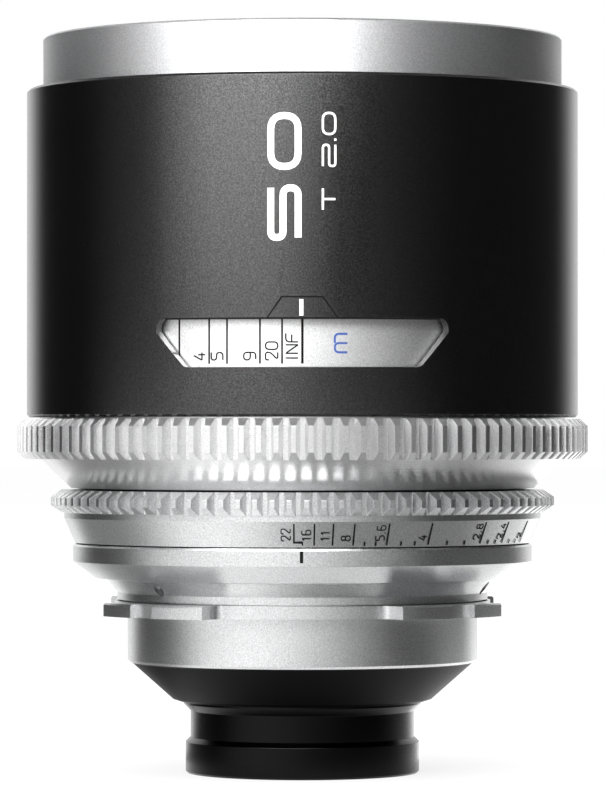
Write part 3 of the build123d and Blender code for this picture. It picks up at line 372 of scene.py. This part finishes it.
# %% [markdown]
# ## Studio: the cards on the wall
# Each card is a formula of the direction, in degrees from the camera's side, and of the height.
# Map Range with a smooth step makes one soft edge, and two of them make a card. Soft edges
# matter more than the cards' places: a hard one would show as a line down the sleeve. The
# floor has cards of its own, which the undersides of the rings show: one in front to the left,
# and on the right a white ring round the foot and a card towards the back.


# %% Paint the cards
def rise(value, start, full, top=1.0):
    """A number that climbs smoothly from 0 to its top between two values of another."""
    return value.recipe.node(
        "ShaderNodeMapRange",
        {"interpolation_type": "SMOOTHSTEP"},
        {"Value": value, "From Min": start, "From Max": full, "To Min": 0.0, "To Max": top},
    )


def card(direction, left_edge, left_full, right_full, right_edge):
    """The light of a card from its left edge to its right one, with a soft rim at both sides."""
    return rise(direction, left_edge, left_full) * (1 - rise(direction, right_full, right_edge))


dark_wall_light, open_floor_light, ceiling_light = 0.01, 0.18, 0.25
recipe = Recipe("reflection_cards")
aside_of_lens, toward_back, up_the_wall = recipe.axes()
direction = aside_of_lens.sum("ARCTAN2", aside_of_lens, toward_back * -1) * degrees(1)
lean = rise(up_the_wall, 0.09, 0.13, 16)
wide_card = card(direction, -96, -58, -10, 66) * (1.1 - rise(up_the_wall, -0.01, 0.05, 0.92))
tall_light = rise(up_the_wall, 0.0, 0.10, 1.85) + rise(up_the_wall, 0.10, 0.18, 10)
tall_card = rise(direction, -64, -30) * (1 - rise(direction - lean, -18, 17)) * tall_light
floor_card = card(direction, -84, -46, -38, 12) * 0.85
back_card = rise(direction, 122, 150) + rise(direction, -126, -148)
ground = rise(up_the_wall, floor_height + 2 * millimetre, floor_height + millimetre)
ceiling = rise(up_the_wall, 0.28, 0.40)
upright = (wide_card + tall_card + back_card + dark_wall_light) * (1 - ground) * (1 - ceiling)
round_the_foot = 1 - rise(recipe.spokes(), 0.038, 0.055)
right_floor = rise(direction, 20, 70, 0.6) * round_the_foot + rise(direction, 75, 115, 0.6)
on_the_floor = (floor_card + right_floor + back_card + open_floor_light) * ground
cards = upright + on_the_floor + ceiling * ceiling_light
recipe.surface({"Base Color": (0, 0, 0, 1), "Emission Color": cards, "Emission Strength": 1.0})
wall.data.materials.append(recipe.owner)
print("the cards take", len(recipe.tree.nodes), "nodes")

# %% [markdown]
# ## Finish: turned and anodised aluminium
# The silver rings are turned on a lathe, blasted with fine glass beads and clear anodised. The
# tool leaves rings round the axis, and the beads break them into a satin with a fine sparkle.
# The rings come from a noise that reads only the height on a wall and the radius on a face, the
# beads from a fine noise in all directions, and a cloudy noise moves the tone and the gloss. A
# Bevel node rounds the edges by a tenth of a millimetre in the shading, as deburring does.


# %% Turned aluminium
tool_pitch, bead_size, cloud_size = 0.17 * millimetre, 0.2 * millimetre, 17 * millimetre
cloud_share = 0.2
darkest, lightest = 0.79, 1.21
mark_depth = 0.01 * millimetre
ring_gloss, cloud_gloss = 0.10, 0.12


def turned_aluminium(name, tone, gloss, line_share=0.25, relief=0.3, edge_radius=0.1 * millimetre):
    """Clear anodised silver, with the marks of the tool and of the glass beads."""
    recipe = Recipe(name)
    rings = recipe.tool_lines(tool_pitch)
    cloud = recipe.noise(cloud_size, 3.0)
    grain = recipe.grain(bead_size)
    tones = [tuple(min(1, part * scale) for part in tone) for scale in (darkest, lightest)]
    grain_share = 1 - cloud_share - line_share
    mottle = rings * line_share + cloud * cloud_share + grain * grain_share
    colour = recipe.between(mottle, *tones)
    edge = recipe.node("ShaderNodeBevel", {"samples": 4}, {"Radius": edge_radius})
    marks = rings * line_share + grain * (1 - line_share)
    normal = recipe.bump(marks, mark_depth, relief, edge)
    roughness = gloss + (rings - 0.5) * ring_gloss + (cloud - 0.5) * cloud_gloss
    return recipe.surface(
        {"Base Color": colour, "Metallic": 1.0, "Roughness": roughness, "Normal": normal}
    )


satin_silver = turned_aluminium("satin_silver", (0.79, 0.795, 0.80), 0.31, line_share=0.12)
gear_silver = turned_aluminium(
    "gear_silver",
    (0.95, 0.95, 0.955),
    0.30,
    line_share=0.2,
    relief=0.2,
    edge_radius=0.05 * millimetre,
)
front_silver = turned_aluminium("front_silver", (0.66, 0.66, 0.67), 0.46, relief=0.5)
scale_silver = turned_aluminium("scale_silver", (0.86, 0.86, 0.865), 0.40, line_share=0.2)
print("aluminium:", satin_silver.name, gear_silver.name, front_silver.name, scale_silver.name)

# %% [markdown]
# ## Finish: black anodising
# The sleeve is blasted aluminium with a clear oxide that is dyed black. It isn't a flat black:
# what glints is the metal under the dye, so the finish is a very dark metal. The blasting leaves
# a fine grain, in the tone and a little in the bump, and handling wears the edges to a dull
# grey. The wear is where the rounded normal of a Bevel node differs from the true one, broken up
# by a cloudy noise.


# %% Black anodising
dye_cloud_size, worn_radius = 22 * millimetre, 0.1 * millimetre
grain_depth, grain_gloss = 0.02 * millimetre, 0.06
wear, worn_grey = 1.8, (0.16, 0.16, 0.165)


def black_anodising(name, tone, gloss, grain_size, relief):
    """Dyed black aluminium with a blasted grain and edges worn to grey."""
    recipe = Recipe(name)
    grain = recipe.grain(grain_size)
    cloud = recipe.noise(dye_cloud_size, 4.0)
    edge = recipe.node("ShaderNodeBevel", {"samples": 4}, {"Radius": worn_radius})
    true_normal = recipe.node("ShaderNodeNewGeometry", output="Normal")
    alike = recipe.node(
        "ShaderNodeVectorMath",
        {"operation": "DOT_PRODUCT"},
        {0: edge, 1: true_normal},
        output="Value",
    )
    dyed = recipe.between(grain, (tone * 0.8,) * 3, (tone * 1.2,) * 3)
    colour = recipe.between((1 - alike) * cloud * wear, dyed, worn_grey)
    normal = recipe.bump(grain, grain_depth, relief, edge)
    roughness = gloss + (grain - 0.5) * grain_gloss + (cloud - 0.5) * grain_gloss
    return recipe.surface(
        {"Base Color": colour, "Metallic": 1.0, "Roughness": roughness, "Normal": normal}
    )


sleeve_black = black_anodising("sleeve_black", 0.105, 0.21, 0.24 * millimetre, 0.08)
rear_black = black_anodising("rear_black", 0.012, 0.24, 0.15 * millimetre, 0.15)
baffle_black = black_anodising("baffle_black", 0.004, 0.5, 0.2 * millimetre, 0.3)
inner_black = black_anodising("inner_black", 0.06, 0.55, 0.15 * millimetre, 0.4)
print("blacks:", sleeve_black.name, rear_black.name, baffle_black.name, inner_black.name)

# %% [markdown]
# ## Finish: coated glass
# Optical glass is ground and polished, then coated in a vacuum with a film a quarter of a
# wavelength thick. It takes the green out of the reflections and leaves them violet: Thin Film
# is that layer, and its thickness is in millionths of a millimetre. A wiped smear and a few
# specks of dust move the roughness, because no glass in use is quite clean.


# %% Coated glass
smear_size, dust_size = 4.5 * millimetre, 0.38 * millimetre
rarest_dust, surest_dust, dust_grey = 0.74, 0.80, (0.75, 0.75, 0.74)
glass_index, film_index = 1.62, 1.38


def coated_glass(name, film_thickness, body):
    """Clear glass with a thin film, a wiped smear and specks of dust."""
    recipe = Recipe(name)
    smear = recipe.noise(smear_size, 4.0)
    dust = rise(recipe.noise(dust_size, 1.0), rarest_dust, surest_dust)
    return recipe.surface(
        {
            "Base Color": recipe.between(dust, body, dust_grey),
            "Transmission Weight": 1.0,
            "IOR": glass_index,
            "Roughness": smear * 0.006 + dust * 0.1,
            "Thin Film Thickness": film_thickness,
            "Thin Film IOR": film_index,
            "Normal": recipe.bump(smear, 0.001 * millimetre, 0.1),
        }
    )


front_glass = coated_glass("front_glass", 106.0, (0.99, 0.995, 1.0))
inner_glass = coated_glass("inner_glass", 98.0, (0.995, 1.0, 0.995))
print("glasses:", front_glass.name, inner_glass.name)

# %% [markdown]
# ## Finish: steel, bronze, plastic
# The rest is what a lens maker buys in. Screws and pins are blackened steel, the bushes are
# bronze, and the iris blades a thin steel blackened against stray light. Each metal has a fine
# grain from its cutting and a slow stain from its bath. The slides are a slippery plastic with a
# waxy skin.


# %% Bought-in metals and plastic
def worn_metal(name, tone, stain, gloss, grain_size, stretch=(1, 1, 1)):
    """A solid metal with a grain, a slow stain and scuffs."""
    recipe = Recipe(name)
    grain = recipe.noise(grain_size, 2.0, stretch)
    cloud = recipe.noise(6 * millimetre, 4.0)
    return recipe.surface(
        {
            "Base Color": recipe.between(cloud * 0.7 + grain * 0.3, tone, stain),
            "Metallic": 1.0,
            "Roughness": gloss + (cloud - 0.5) * 0.2 + (grain - 0.5) * 0.1,
            "Normal": recipe.bump(grain, 0.005 * millimetre, 0.3),
        }
    )


def smooth_plastic(name, tone, stain, gloss):
    """A cut plastic with a faint waxy skin."""
    recipe = Recipe(name)
    grain = recipe.noise(0.33 * millimetre)
    cloud = recipe.noise(11 * millimetre, 3.0)
    return recipe.surface(
        {
            "Base Color": recipe.between(cloud, tone, stain),
            "Roughness": gloss + (cloud - 0.5) * 0.15,
            "IOR": 1.46,
            "Normal": recipe.bump(grain, 0.003 * millimetre, 0.3),
        }
    )


screw_steel = worn_metal(
    "screw_steel", (0.10, 0.10, 0.105), (0.17, 0.165, 0.16), 0.32, 0.15 * millimetre
)
bush_bronze = worn_metal(
    "bush_bronze", (0.62, 0.42, 0.22), (0.42, 0.27, 0.14), 0.34, 0.2 * millimetre
)
blade_steel = worn_metal(
    "blade_steel",
    (0.05, 0.05, 0.055),
    (0.09, 0.085, 0.10),
    0.48,
    0.1 * millimetre,
    stretch=(1, 1, 4),
)
slide_white = smooth_plastic("slide_white", (0.72, 0.71, 0.68), (0.62, 0.60, 0.56), 0.42)
print("bought in:", screw_steel.name, bush_bronze.name, blade_steel.name, slide_white.name)

# %% [markdown]
# ## Dress the solids
# Each solid comes with slots that name its raw material. Most pieces take the finish that goes
# with the slot, and a few that catch the eye have a finish of their own. The shims share the
# mount's silver, because between two silver faces a bronze edge would show as a brown line.

# %% Give every slot its finish
finish_of_slot = {
    "black_anodised": inner_black,
    "satin_aluminium": satin_silver,
    "coated_glass": inner_glass,
    "hardened_steel": screw_steel,
    "bearing_bronze": bush_bronze,
    "slide_plastic": slide_white,
    "blackened_blade": blade_steel,
}
finish_of_solid = {
    "pl_shims": satin_silver,
    "front_element": front_glass,
    "front_ring": front_silver,
    "focus_ring": gear_silver,
    "scale_drum": scale_silver,
    "outer_sleeve": sleeve_black,
    "index_plate": sleeve_black,
    "rear_baffle": baffle_black,
    "rear_cell": rear_black,
    "rear_retaining_ring": rear_black,
}
for name, solid in nodes.items():
    for place in solid.material_slots:
        raw_material = place.material.name.split(".")[0]
        place.material = finish_of_solid.get(name, finish_of_slot[raw_material])
finishes = {solid.material_slots[0].material.name for solid in nodes.values()}
print("dressed:", len(nodes), "solids in", len(finishes), "finishes")

# %% [markdown]
# ## Engraving: the letters
# The numbers and lines are engraved with a ball cutter and filled with paint, so every stroke
# has one width and round corners. A letter is a few strokes in a box of size one: its first
# number goes along the line of writing and its second one up the letter. A closed stroke comes
# back to its start.

# %% Strokes of the numbers
closed, open_ended = True, False
letter_strokes = {
    "0": [(closed, [(0, 0), (1, 0), (1, 1), (0, 1)])],
    "1": [(open_ended, [(0.15, 0.7), (0.6, 1), (0.6, 0)])],
    "2": [(open_ended, [(0, 0.72), (0, 1), (1, 1), (1, 0.6), (0, 0), (1, 0)])],
    "square 2": [(open_ended, [(0, 1), (1, 1), (1, 0.5), (0, 0.5), (0, 0), (1, 0)])],
    "3": [(open_ended, [(0, 1), (1, 1), (1, 0), (0, 0)]), (open_ended, [(0.25, 0.5), (1, 0.5)])],
    "4": [
        (open_ended, [(0.6, 1), (0, 0.28)]),
        (open_ended, [(0, 0.28), (1, 0.28)]),
        (open_ended, [(0.72, 0), (0.72, 0.6)]),
    ],
    "5": [(open_ended, [(1, 1), (0, 1), (0, 0.55), (1, 0.55), (1, 0), (0, 0)])],
    "6": [(open_ended, [(0.9, 1), (0, 1), (0, 0), (1, 0), (1, 0.55), (0, 0.55)])],
    "7": [(open_ended, [(0, 1), (1, 1), (0.35, 0)])],
    "8": [
        (closed, [(0, 0), (1, 0), (1, 0.54), (0, 0.54)]),
        (closed, [(0.08, 0.54), (0.92, 0.54), (0.92, 1), (0.08, 1)]),
    ],
    "9": [(open_ended, [(0.1, 0), (1, 0), (1, 1), (0, 1), (0, 0.45), (1, 0.45)])],
    ".": [(open_ended, [(0, 0), (1, 0)])],
    "T": [(open_ended, [(0, 1), (1, 1)]), (open_ended, [(0.5, 1), (0.5, 0)])],
    "I": [(open_ended, [(0.5, 0), (0.5, 1)])],
    "N": [
        (open_ended, [(0, 0), (0, 1)]),
        (open_ended, [(0, 1), (1, 0)]),
        (open_ended, [(1, 0), (1, 1)]),
    ],
    "F": [(open_ended, [(1, 1), (0, 1), (0, 0)]), (open_ended, [(0, 0.52), (0.85, 0.52)])],
    "m": [
        (open_ended, [(0, 0), (0, 1), (0.5, 1), (0.5, 0)]),
        (open_ended, [(0.5, 1), (1, 1), (1, 0)]),
    ],
}
narrow_letters = {"I": 0.5, "1": 0.8}
print("letters drawn:", " ".join(letter_strokes))

# %% [markdown]
# ## Engraving: round corners and short runs
# `rounded` cuts each corner of a stroke with an arc, as the cutter does. `in_short_runs` adds
# points, so that a long line laid on a cylinder bends with it.


# %% Round corners and short runs
def rounded(path, is_closed, corner_radius, steps=5):
    """The same path with an arc in place of each corner."""
    points = [Vector(point) for point in path]
    result = []
    for place, point in enumerate(points):
        if not is_closed and place in (0, len(points) - 1):
            result.append(point)
            continue
        before, after = points[place - 1], points[(place + 1) % len(points)]
        reach = min(corner_radius, (before - point).length / 2, (after - point).length / 2)
        start = point + (before - point).normalized() * reach
        end = point + (after - point).normalized() * reach
        for share in (step / steps for step in range(steps + 1)):
            result.append(start.lerp(point, share).lerp(point.lerp(end, share), share))
    return result


def in_short_runs(points, is_closed, longest=0.8 * millimetre):
    """Add points, so that a path laid on a round surface stays on it."""
    result = []
    for first, second in zip(points, points[1:] + points[:1] if is_closed else points[1:]):
        runs = max(1, ceil((second - first).length / longest))
        result += [first.lerp(second, run / runs) for run in range(runs)]
    return result if is_closed else result + [points[-1]]


corner = rounded([(0, 0), (1, 0), (1, 1)], open_ended, 0.5)
short_runs = in_short_runs(corner, open_ended, longest=0.1)
print("a corner becomes", len(corner), "points, and in short runs", len(short_runs))

# %% [markdown]
# ## Engraving: from a stroke to a body of paint
# `skin` joins cross-sections of four corners into a closed bar, which serves for paint, for the
# strip of painted shade and for a thread. A filled line reaches a little into the metal and stands
# a little proud of it, and its section widens at a bend, so that the line keeps its width.


# %% Bars with a skin
def skin(sections, is_closed=False):
    """Corners and faces of a bar that runs through sections of four corners each."""
    corners = [corner for section in sections for corner in section]
    faces = []
    for place in range(len(sections) if is_closed else len(sections) - 1):
        here, ahead = 4 * place, 4 * ((place + 1) % len(sections))
        for side, beside in ((0, 1), (1, 2), (2, 3), (3, 0)):
            faces.append((here + side, here + beside, ahead + beside, ahead + side))
    if not is_closed:
        last = 4 * (len(sections) - 1)
        faces += [(3, 2, 1, 0), (last, last + 1, last + 2, last + 3)]
    return corners, faces


paint_depth, paint_proud = -0.03 * millimetre, 0.03 * millimetre
sharpest_corner = 0.6


def filled_line(points, is_closed, width, land):
    """Corners and faces of a line of paint; land(point, lift) puts a drawn point on the metal."""
    sections = []
    for place, point in enumerate(points):
        before = points[place - 1] if is_closed or place else point
        after = points[(place + 1) % len(points)] if is_closed or place + 1 < len(points) else point
        reach = width / 2
        if point not in (before, after):
            bend = (point - before).normalized().dot((after - point).normalized())
            reach /= max(sharpest_corner, ((1 + bend) / 2) ** 0.5)
        ahead = (after - before).normalized()
        aside = Vector((-ahead.y, ahead.x)) * reach
        left, right = point + aside, point - aside
        foot = [land(left, paint_depth), land(right, paint_depth)]
        sections.append(foot + [land(right, paint_proud), land(left, paint_proud)])
    return skin(sections, is_closed)


print("paint stands", round(paint_proud / millimetre, 3), "mm proud")

# %% [markdown]
# ## Engraving: a drawing on a turned surface
# An Engraving is one piece of paint. It knows the radius of its surface at each height, so the
# same words fit a cylinder and a cone. The drawing is laid down with its line of writing up the
# lens: that is how a camera assistant reads it, from the side.


# %% The engraving class
class Engraving:
    """One piece of paint on a turned surface: lines and words, read from the rear upward."""

    def __init__(self, name, radius_at, paint, body, slot):
        self.name, self.radius_at = name, radius_at
        self.paint, self.body, self.slot = paint, body, slot
        self.corners, self.faces = [], []

    def line(self, points, width, azimuth, height, is_closed=False):
        """Draw one path: its first number goes up the lens, its second one to the left."""

        def land(point, lift):
            radius = self.radius_at(height + point.x)
            turn = azimuth - degrees(point.y / radius)
            return round_the_lens(turn, radius + lift, height + point.x)

        points = in_short_runs([Vector(point) for point in points], is_closed)
        corners, faces = filled_line(points, is_closed, width, land)
        start = len(self.corners)
        self.corners += corners
        self.faces += [[start + corner for corner in face] for face in faces]

    def word(self, letters, azimuth, height, size, stroke, gap=0.0, corner=0.3):
        """Write letters up the lens, their feet on the azimuth and the first at the height."""
        full_width, tall = size
        along = stroke / 2
        for letter in letters:
            wide = 2 * stroke if letter == "." else full_width * narrow_letters.get(letter, 1.0)
            for is_closed, path in letter_strokes[letter]:
                room = wide - stroke, tall - stroke
                sized = [(along + x * room[0], stroke / 2 + y * room[1]) for x, y in path]
                bent = rounded(sized, is_closed, corner * tall)
                self.line(bent, stroke, azimuth, height, is_closed)
            along += wide + gap

    def make(self):
        """Turn all that was drawn into one object that rides on its body."""
        piece = mesh_piece(self.name, self.corners, self.faces)
        piece.data.materials.append(self.paint)
        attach(piece, self.body)
        print(self.name, "has", len(self.faces), "faces")


print("engravings can be drawn")

# %% [markdown]
# ## Finish: engraving paint
# Engraving paint is a thick enamel wiped into the cut. It is matte, a little uneven in tone and
# slightly hollow where it dried. White is for the black sleeve, black for the silver rings, and
# the unit of the distances is blue.


# %% Engraving paint
def enamel(name, tone, stain, mirror=0.5):
    """A matte paint, a little uneven in tone and slightly hollow."""
    recipe = Recipe(name)
    cloud = recipe.noise(1.4 * millimetre, 3.0)
    grain = recipe.noise(0.11 * millimetre)
    return recipe.surface(
        {
            "Base Color": recipe.between(cloud, tone, stain),
            "Roughness": 0.5 + (grain - 0.5) * 0.3,
            "Specular IOR Level": mirror,
            "Normal": recipe.bump(cloud + grain * 0.3, 0.01 * millimetre, 0.4),
        }
    )


white_enamel = enamel("white_enamel", (0.88, 0.88, 0.87), (0.78, 0.78, 0.77))
black_enamel = enamel("black_enamel", (0.003, 0.003, 0.003), (0.008, 0.008, 0.008), mirror=0.1)
blue_enamel = enamel("blue_enamel", (0.018, 0.06, 0.27), (0.03, 0.09, 0.34))
print("enamels:", white_enamel.name, black_enamel.name, blue_enamel.name)

# %% [markdown]
# ## Words on the sleeve
# The focal length stands large in front, with the widest stop beside it. Both are generic
# figures of such a lens. The large figures have strokes a millimetre wide, and the 0 has rounder
# corners than the 5.

# %% The focal length and the widest stop
sleeve_radius = -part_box("index_plate")[0][1]


def on_sleeve(height):
    """The sleeve is a cylinder, so its radius is the same at each height."""
    return sleeve_radius


white_on_sleeve = (on_sleeve, white_enamel, "lens_barrel", "black_anodised")
figure_azimuth, five_height, nought_height = -0.16, 0.05574, 0.06608
big_stroke, big_tall = 1.0 * millimetre, 5.0 * millimetre
five_size, nought_size = (8.24 * millimetre, big_tall), (8.44 * millimetre, big_tall)
focal_number = Engraving("focal_length_number", *white_on_sleeve)
focal_number.word("5", figure_azimuth, five_height, five_size, big_stroke, corner=0.34)
focal_number.word("0", figure_azimuth, nought_height, nought_size, big_stroke, corner=0.5)
focal_number.make()

small_stroke = 0.31 * millimetre
small_size = (3.4 * millimetre, 2.13 * millimetre)
stop_azimuth = 6.69
sign_heights = {"T": 0.06014, "square 2": 0.0665, ".": 0.0702, "0": 0.07115}
stop_number = Engraving("widest_stop_number", *white_on_sleeve)
for sign, height in sign_heights.items():
    roundness = 0.5 if sign == "0" else 0.3
    stop_number.word([sign], stop_azimuth, height, small_size, small_stroke, corner=roundness)
stop_number.make()

# %% [markdown]
# ## The index plate
# A thin plate is let into the sleeve above the window. It carries the white focus index. A
# hairline of black paint round it is painted shade, standing in for the dark gap of its joint.

# %% The focus index and the plate's joint
index_azimuth, focus_index_foot = -0.2, 0.04487
focus_index_path, focus_index_width = [(0, 0), (2.37 * millimetre, 0)], 0.57 * millimetre
focus_index = Engraving("focus_index_line", *white_on_sleeve)
focus_index.line(focus_index_path, focus_index_width, index_azimuth, focus_index_foot)
focus_index.make()

plate_low, plate_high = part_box("index_plate")[0][2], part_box("index_plate")[1][2]
plate_foot_half, plate_head_half = 5.15 * millimetre, 2.95 * millimetre
# The black line round the plate is painted shade: it stands in for the dark gap of the joint.
plate_joint = Engraving(
    "plate_joint_painted_shade", on_sleeve, black_enamel, "lens_barrel", "black_anodised"
)
joint_left = [(0, plate_foot_half), (plate_high - plate_low, plate_head_half)]
joint_right = [(along, -aside) for along, aside in reversed(joint_left)]
plate_joint.line(joint_left + joint_right, 0.2 * millimetre, 0.0, plate_low)
plate_joint.make()

# %% [markdown]
# ## The shade line of the window
# A black strip under the window's upper edge, between the sleeve and the drum, is painted shade:
# it stands in for the shadow of that edge and shows as a thin black line above the scale.

# %% The strip of painted shade
# The black under the window's upper edge is painted shade, the shadow of that edge on the drum.
shade_strip_black = smooth_plastic("shade_strip_black", (0.003, 0.003, 0.003), (0.006, 0.006, 0.006), 0.9)
drum_radius = -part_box("scale_drum")[0][1]
strip_inner, strip_outer = drum_radius + 0.2 * millimetre, sleeve_radius - 0.15 * millimetre
strip_low = plate_low - 0.2 * millimetre
strip_corners = [(strip_inner, strip_low), (strip_outer, strip_low)]
strip_corners += [(strip_outer, plate_low), (strip_inner, plate_low)]
strip_end, strip_steps = 28.5, 48
strip_turns = [strip_end * (2 * step / strip_steps - 1) for step in range(strip_steps + 1)]
sections = [[round_the_lens(turn, *corner) for corner in strip_corners] for turn in strip_turns]
painted_shade_strip = mesh_piece("window_painted_shade_strip", *skin(sections))
painted_shade_strip.data.materials.append(shade_strip_black)
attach(painted_shade_strip, "lens_barrel")
print("the felt is", round((strip_outer - strip_inner) / millimetre, 2), "mm deep")

# %% [markdown]
# ## The distance scale
# The drum turns with the focus ring behind the window. The far distances lie close together and
# the near ones far apart, because the helical slots lift the glass in step with the angle, and
# the angle goes with one over the distance. The whole scale is drawn, also what the window
# hides at infinity, so a turned ring shows the right number.

# %% The distances
distance_turns = {
    "INF": 0.0,
    "20": 4.2,
    "9": 8.8,
    "5": 15.8,
    "4": 19.7,
    "3": 26.5,
    "2": 41.0,
    "1.5": 56.0,
    "1.2": 71.0,
    "1": 88.0,
    "0.9": 99.0,
    "0.8": 113.6,
    "0.7": 133.0,
    "0.6": 158.0,
    "0.5": 200.0,
}
scale_foot, scale_line = 0.0379, 7.4 * millimetre
word_foot, word_turn = scale_foot + 0.45 * millimetre, -0.75
distance_tall = 2.0 * millimetre
distance_stroke, distance_gap = 0.21 * millimetre, 0.22 * millimetre


def on_drum(height):
    """The drum is a cylinder too."""
    return drum_radius


distances = Engraving("distance_scale", on_drum, black_enamel, "focus_assembly", "satin_aluminium")
for number, turn in distance_turns.items():
    far = number == "INF"
    line_width = (0.36 if far else 0.26) * millimetre
    distances.line([(0, 0), (scale_line, 0)], line_width, -turn, scale_foot)
    size = ((1.45 if far else 1.3) * millimetre, distance_tall)
    distances.word(
        number, word_turn - turn, word_foot, size, distance_stroke, distance_gap, corner=0.4
    )
distances.make()

unit_azimuth, unit_foot, unit_stroke = 9.55, 0.0394, 0.3 * millimetre
unit_sign = Engraving("metre_sign", on_drum, blue_enamel, "focus_assembly", "satin_aluminium")
unit_sign.word("m", unit_azimuth, unit_foot, (3.0 * millimetre, 2.15 * millimetre), unit_stroke)
unit_sign.make()

# %% [markdown]
# ## The cone of the stop scale
# The stops stand on the cone below the iris gear, whose radius grows evenly with the height.

# %% The cone of the iris ring
cone_foot, cone_top = 0.0109, 0.0147
cone_foot_radius, cone_top_radius = 0.0352, 0.03675


def on_iris_cone(height):
    """The radius of the iris ring's cone at a height."""
    share = (height - cone_foot) / (cone_top - cone_foot)
    return cone_foot_radius + (cone_top_radius - cone_foot_radius) * share


print("the cone widens by", round((cone_top_radius - cone_foot_radius) / millimetre, 2), "mm")

# %% [markdown]
# ## The stops and their thirds
# Each full stop has a long line and its number to the left of it, and where there is room the
# thirds between them have short ticks on the lower edge. The spacing isn't even, because the
# blades open the hole faster at the wide end. The line of 22 has a jog, which leaves its number
# room beside 16.

# %% The stops
stop_turns = {"22": 0.0, "16": 2.8, "11": 7.2, "8": 12.2, "5.6": 20.6, "4": 31.8}
stop_turns |= {"2.8": 48.75, "2.4": 58.1, "2": 69.0}
stop_stroke, stop_line, stop_tick = 0.24 * millimetre, 3.2 * millimetre, 0.6 * millimetre
jog_up, jog_aside = 0.4 * millimetre, 1.25 * millimetre
figure_size, figure_gap = (0.85 * millimetre, 1.5 * millimetre), 0.2 * millimetre
figure_stroke, figure_lead = 0.15 * millimetre, 0.7
line_foot, figure_foot, tick_foot = 0.0112, 0.0118, 0.0111
least_turn_with_ticks = 5
stops = Engraving("stop_scale", on_iris_cone, black_enamel, "iris_ring_assembly", "satin_aluminium")
last_turn = 0.0
for number, turn in stop_turns.items():
    shift = jog_aside if number == "22" else 0.0
    jog = [(jog_up, 0), (jog_up, shift)] if shift else []
    stops.line([(0, 0), *jog, (stop_line, shift)], stop_stroke, turn, line_foot)
    figure_turn = turn - figure_lead - degrees(shift / cone_foot_radius)
    stops.word(
        number, figure_turn, figure_foot, figure_size, figure_stroke, figure_gap, corner=0.4
    )
    for third in (1, 2) if turn - last_turn > least_turn_with_ticks else ():
        tick_turn = last_turn + (turn - last_turn) * third / 3
        stops.line([(0, 0), (stop_tick, 0)], stop_stroke, tick_turn, tick_foot)
    last_turn = turn
stops.make()

# %% [markdown]
# ## The stop index
# One black line on the fixed housing, right below the scale, reads the stop.

# %% The index on the housing
housing_radius, stop_index_foot = 0.03537, 0.0086
stop_index_path, stop_index_width = [(0, 0), (1.75 * millimetre, 0)], 0.5 * millimetre


def on_housing(height):
    """The housing's rim is a cylinder."""
    return housing_radius


stop_index = Engraving(
    "stop_index_line", on_housing, black_enamel, "lens_barrel", "satin_aluminium"
)
stop_index.line(stop_index_path, stop_index_width, index_azimuth, stop_index_foot)
stop_index.make()

# %% [markdown]
# ## The filter thread
# Inside the front ring a single-point tool cuts a fine thread for filters. On the solid it is a
# plain bore. The ridge here is one long section with a flat crest that climbs three quarters of
# a millimetre in each turn, and it thins out at both ends as a real thread does.

# %% Cut the filter thread
thread_bore, thread_height, thread_pitch = 0.0385, 0.3 * millimetre, 0.75 * millimetre
thread_start, thread_end = 0.0838, 0.0882
half_foot, half_crest = 0.42 * thread_pitch, 0.06 * thread_pitch
steps_per_turn, fade_steps = 120, 30
thread_turns = (thread_end - thread_start - thread_pitch) / thread_pitch
thread_sections = int(thread_turns * steps_per_turn)
sections = []
for section in range(thread_sections + 1):
    turn = section / steps_per_turn
    height = thread_start + thread_pitch / 2 + thread_pitch * turn
    fade = min(1.0, section / fade_steps, (thread_sections - section) / fade_steps)
    crest = thread_bore - thread_height * fade
    lower_flank = [(thread_bore, -half_foot), (crest, -half_crest)]
    upper_flank = [(crest, half_crest), (thread_bore, half_foot)]
    rim = [(radius, height + up) for radius, up in lower_flank + upper_flank]
    sections.append([round_the_lens(360 * turn, *point) for point in rim])
filter_thread = mesh_piece("filter_thread_ridge", *skin(sections))
filter_thread.data.materials.append(front_silver)
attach(filter_thread, "lens_barrel")
print("thread of", round(thread_turns, 1), "turns")
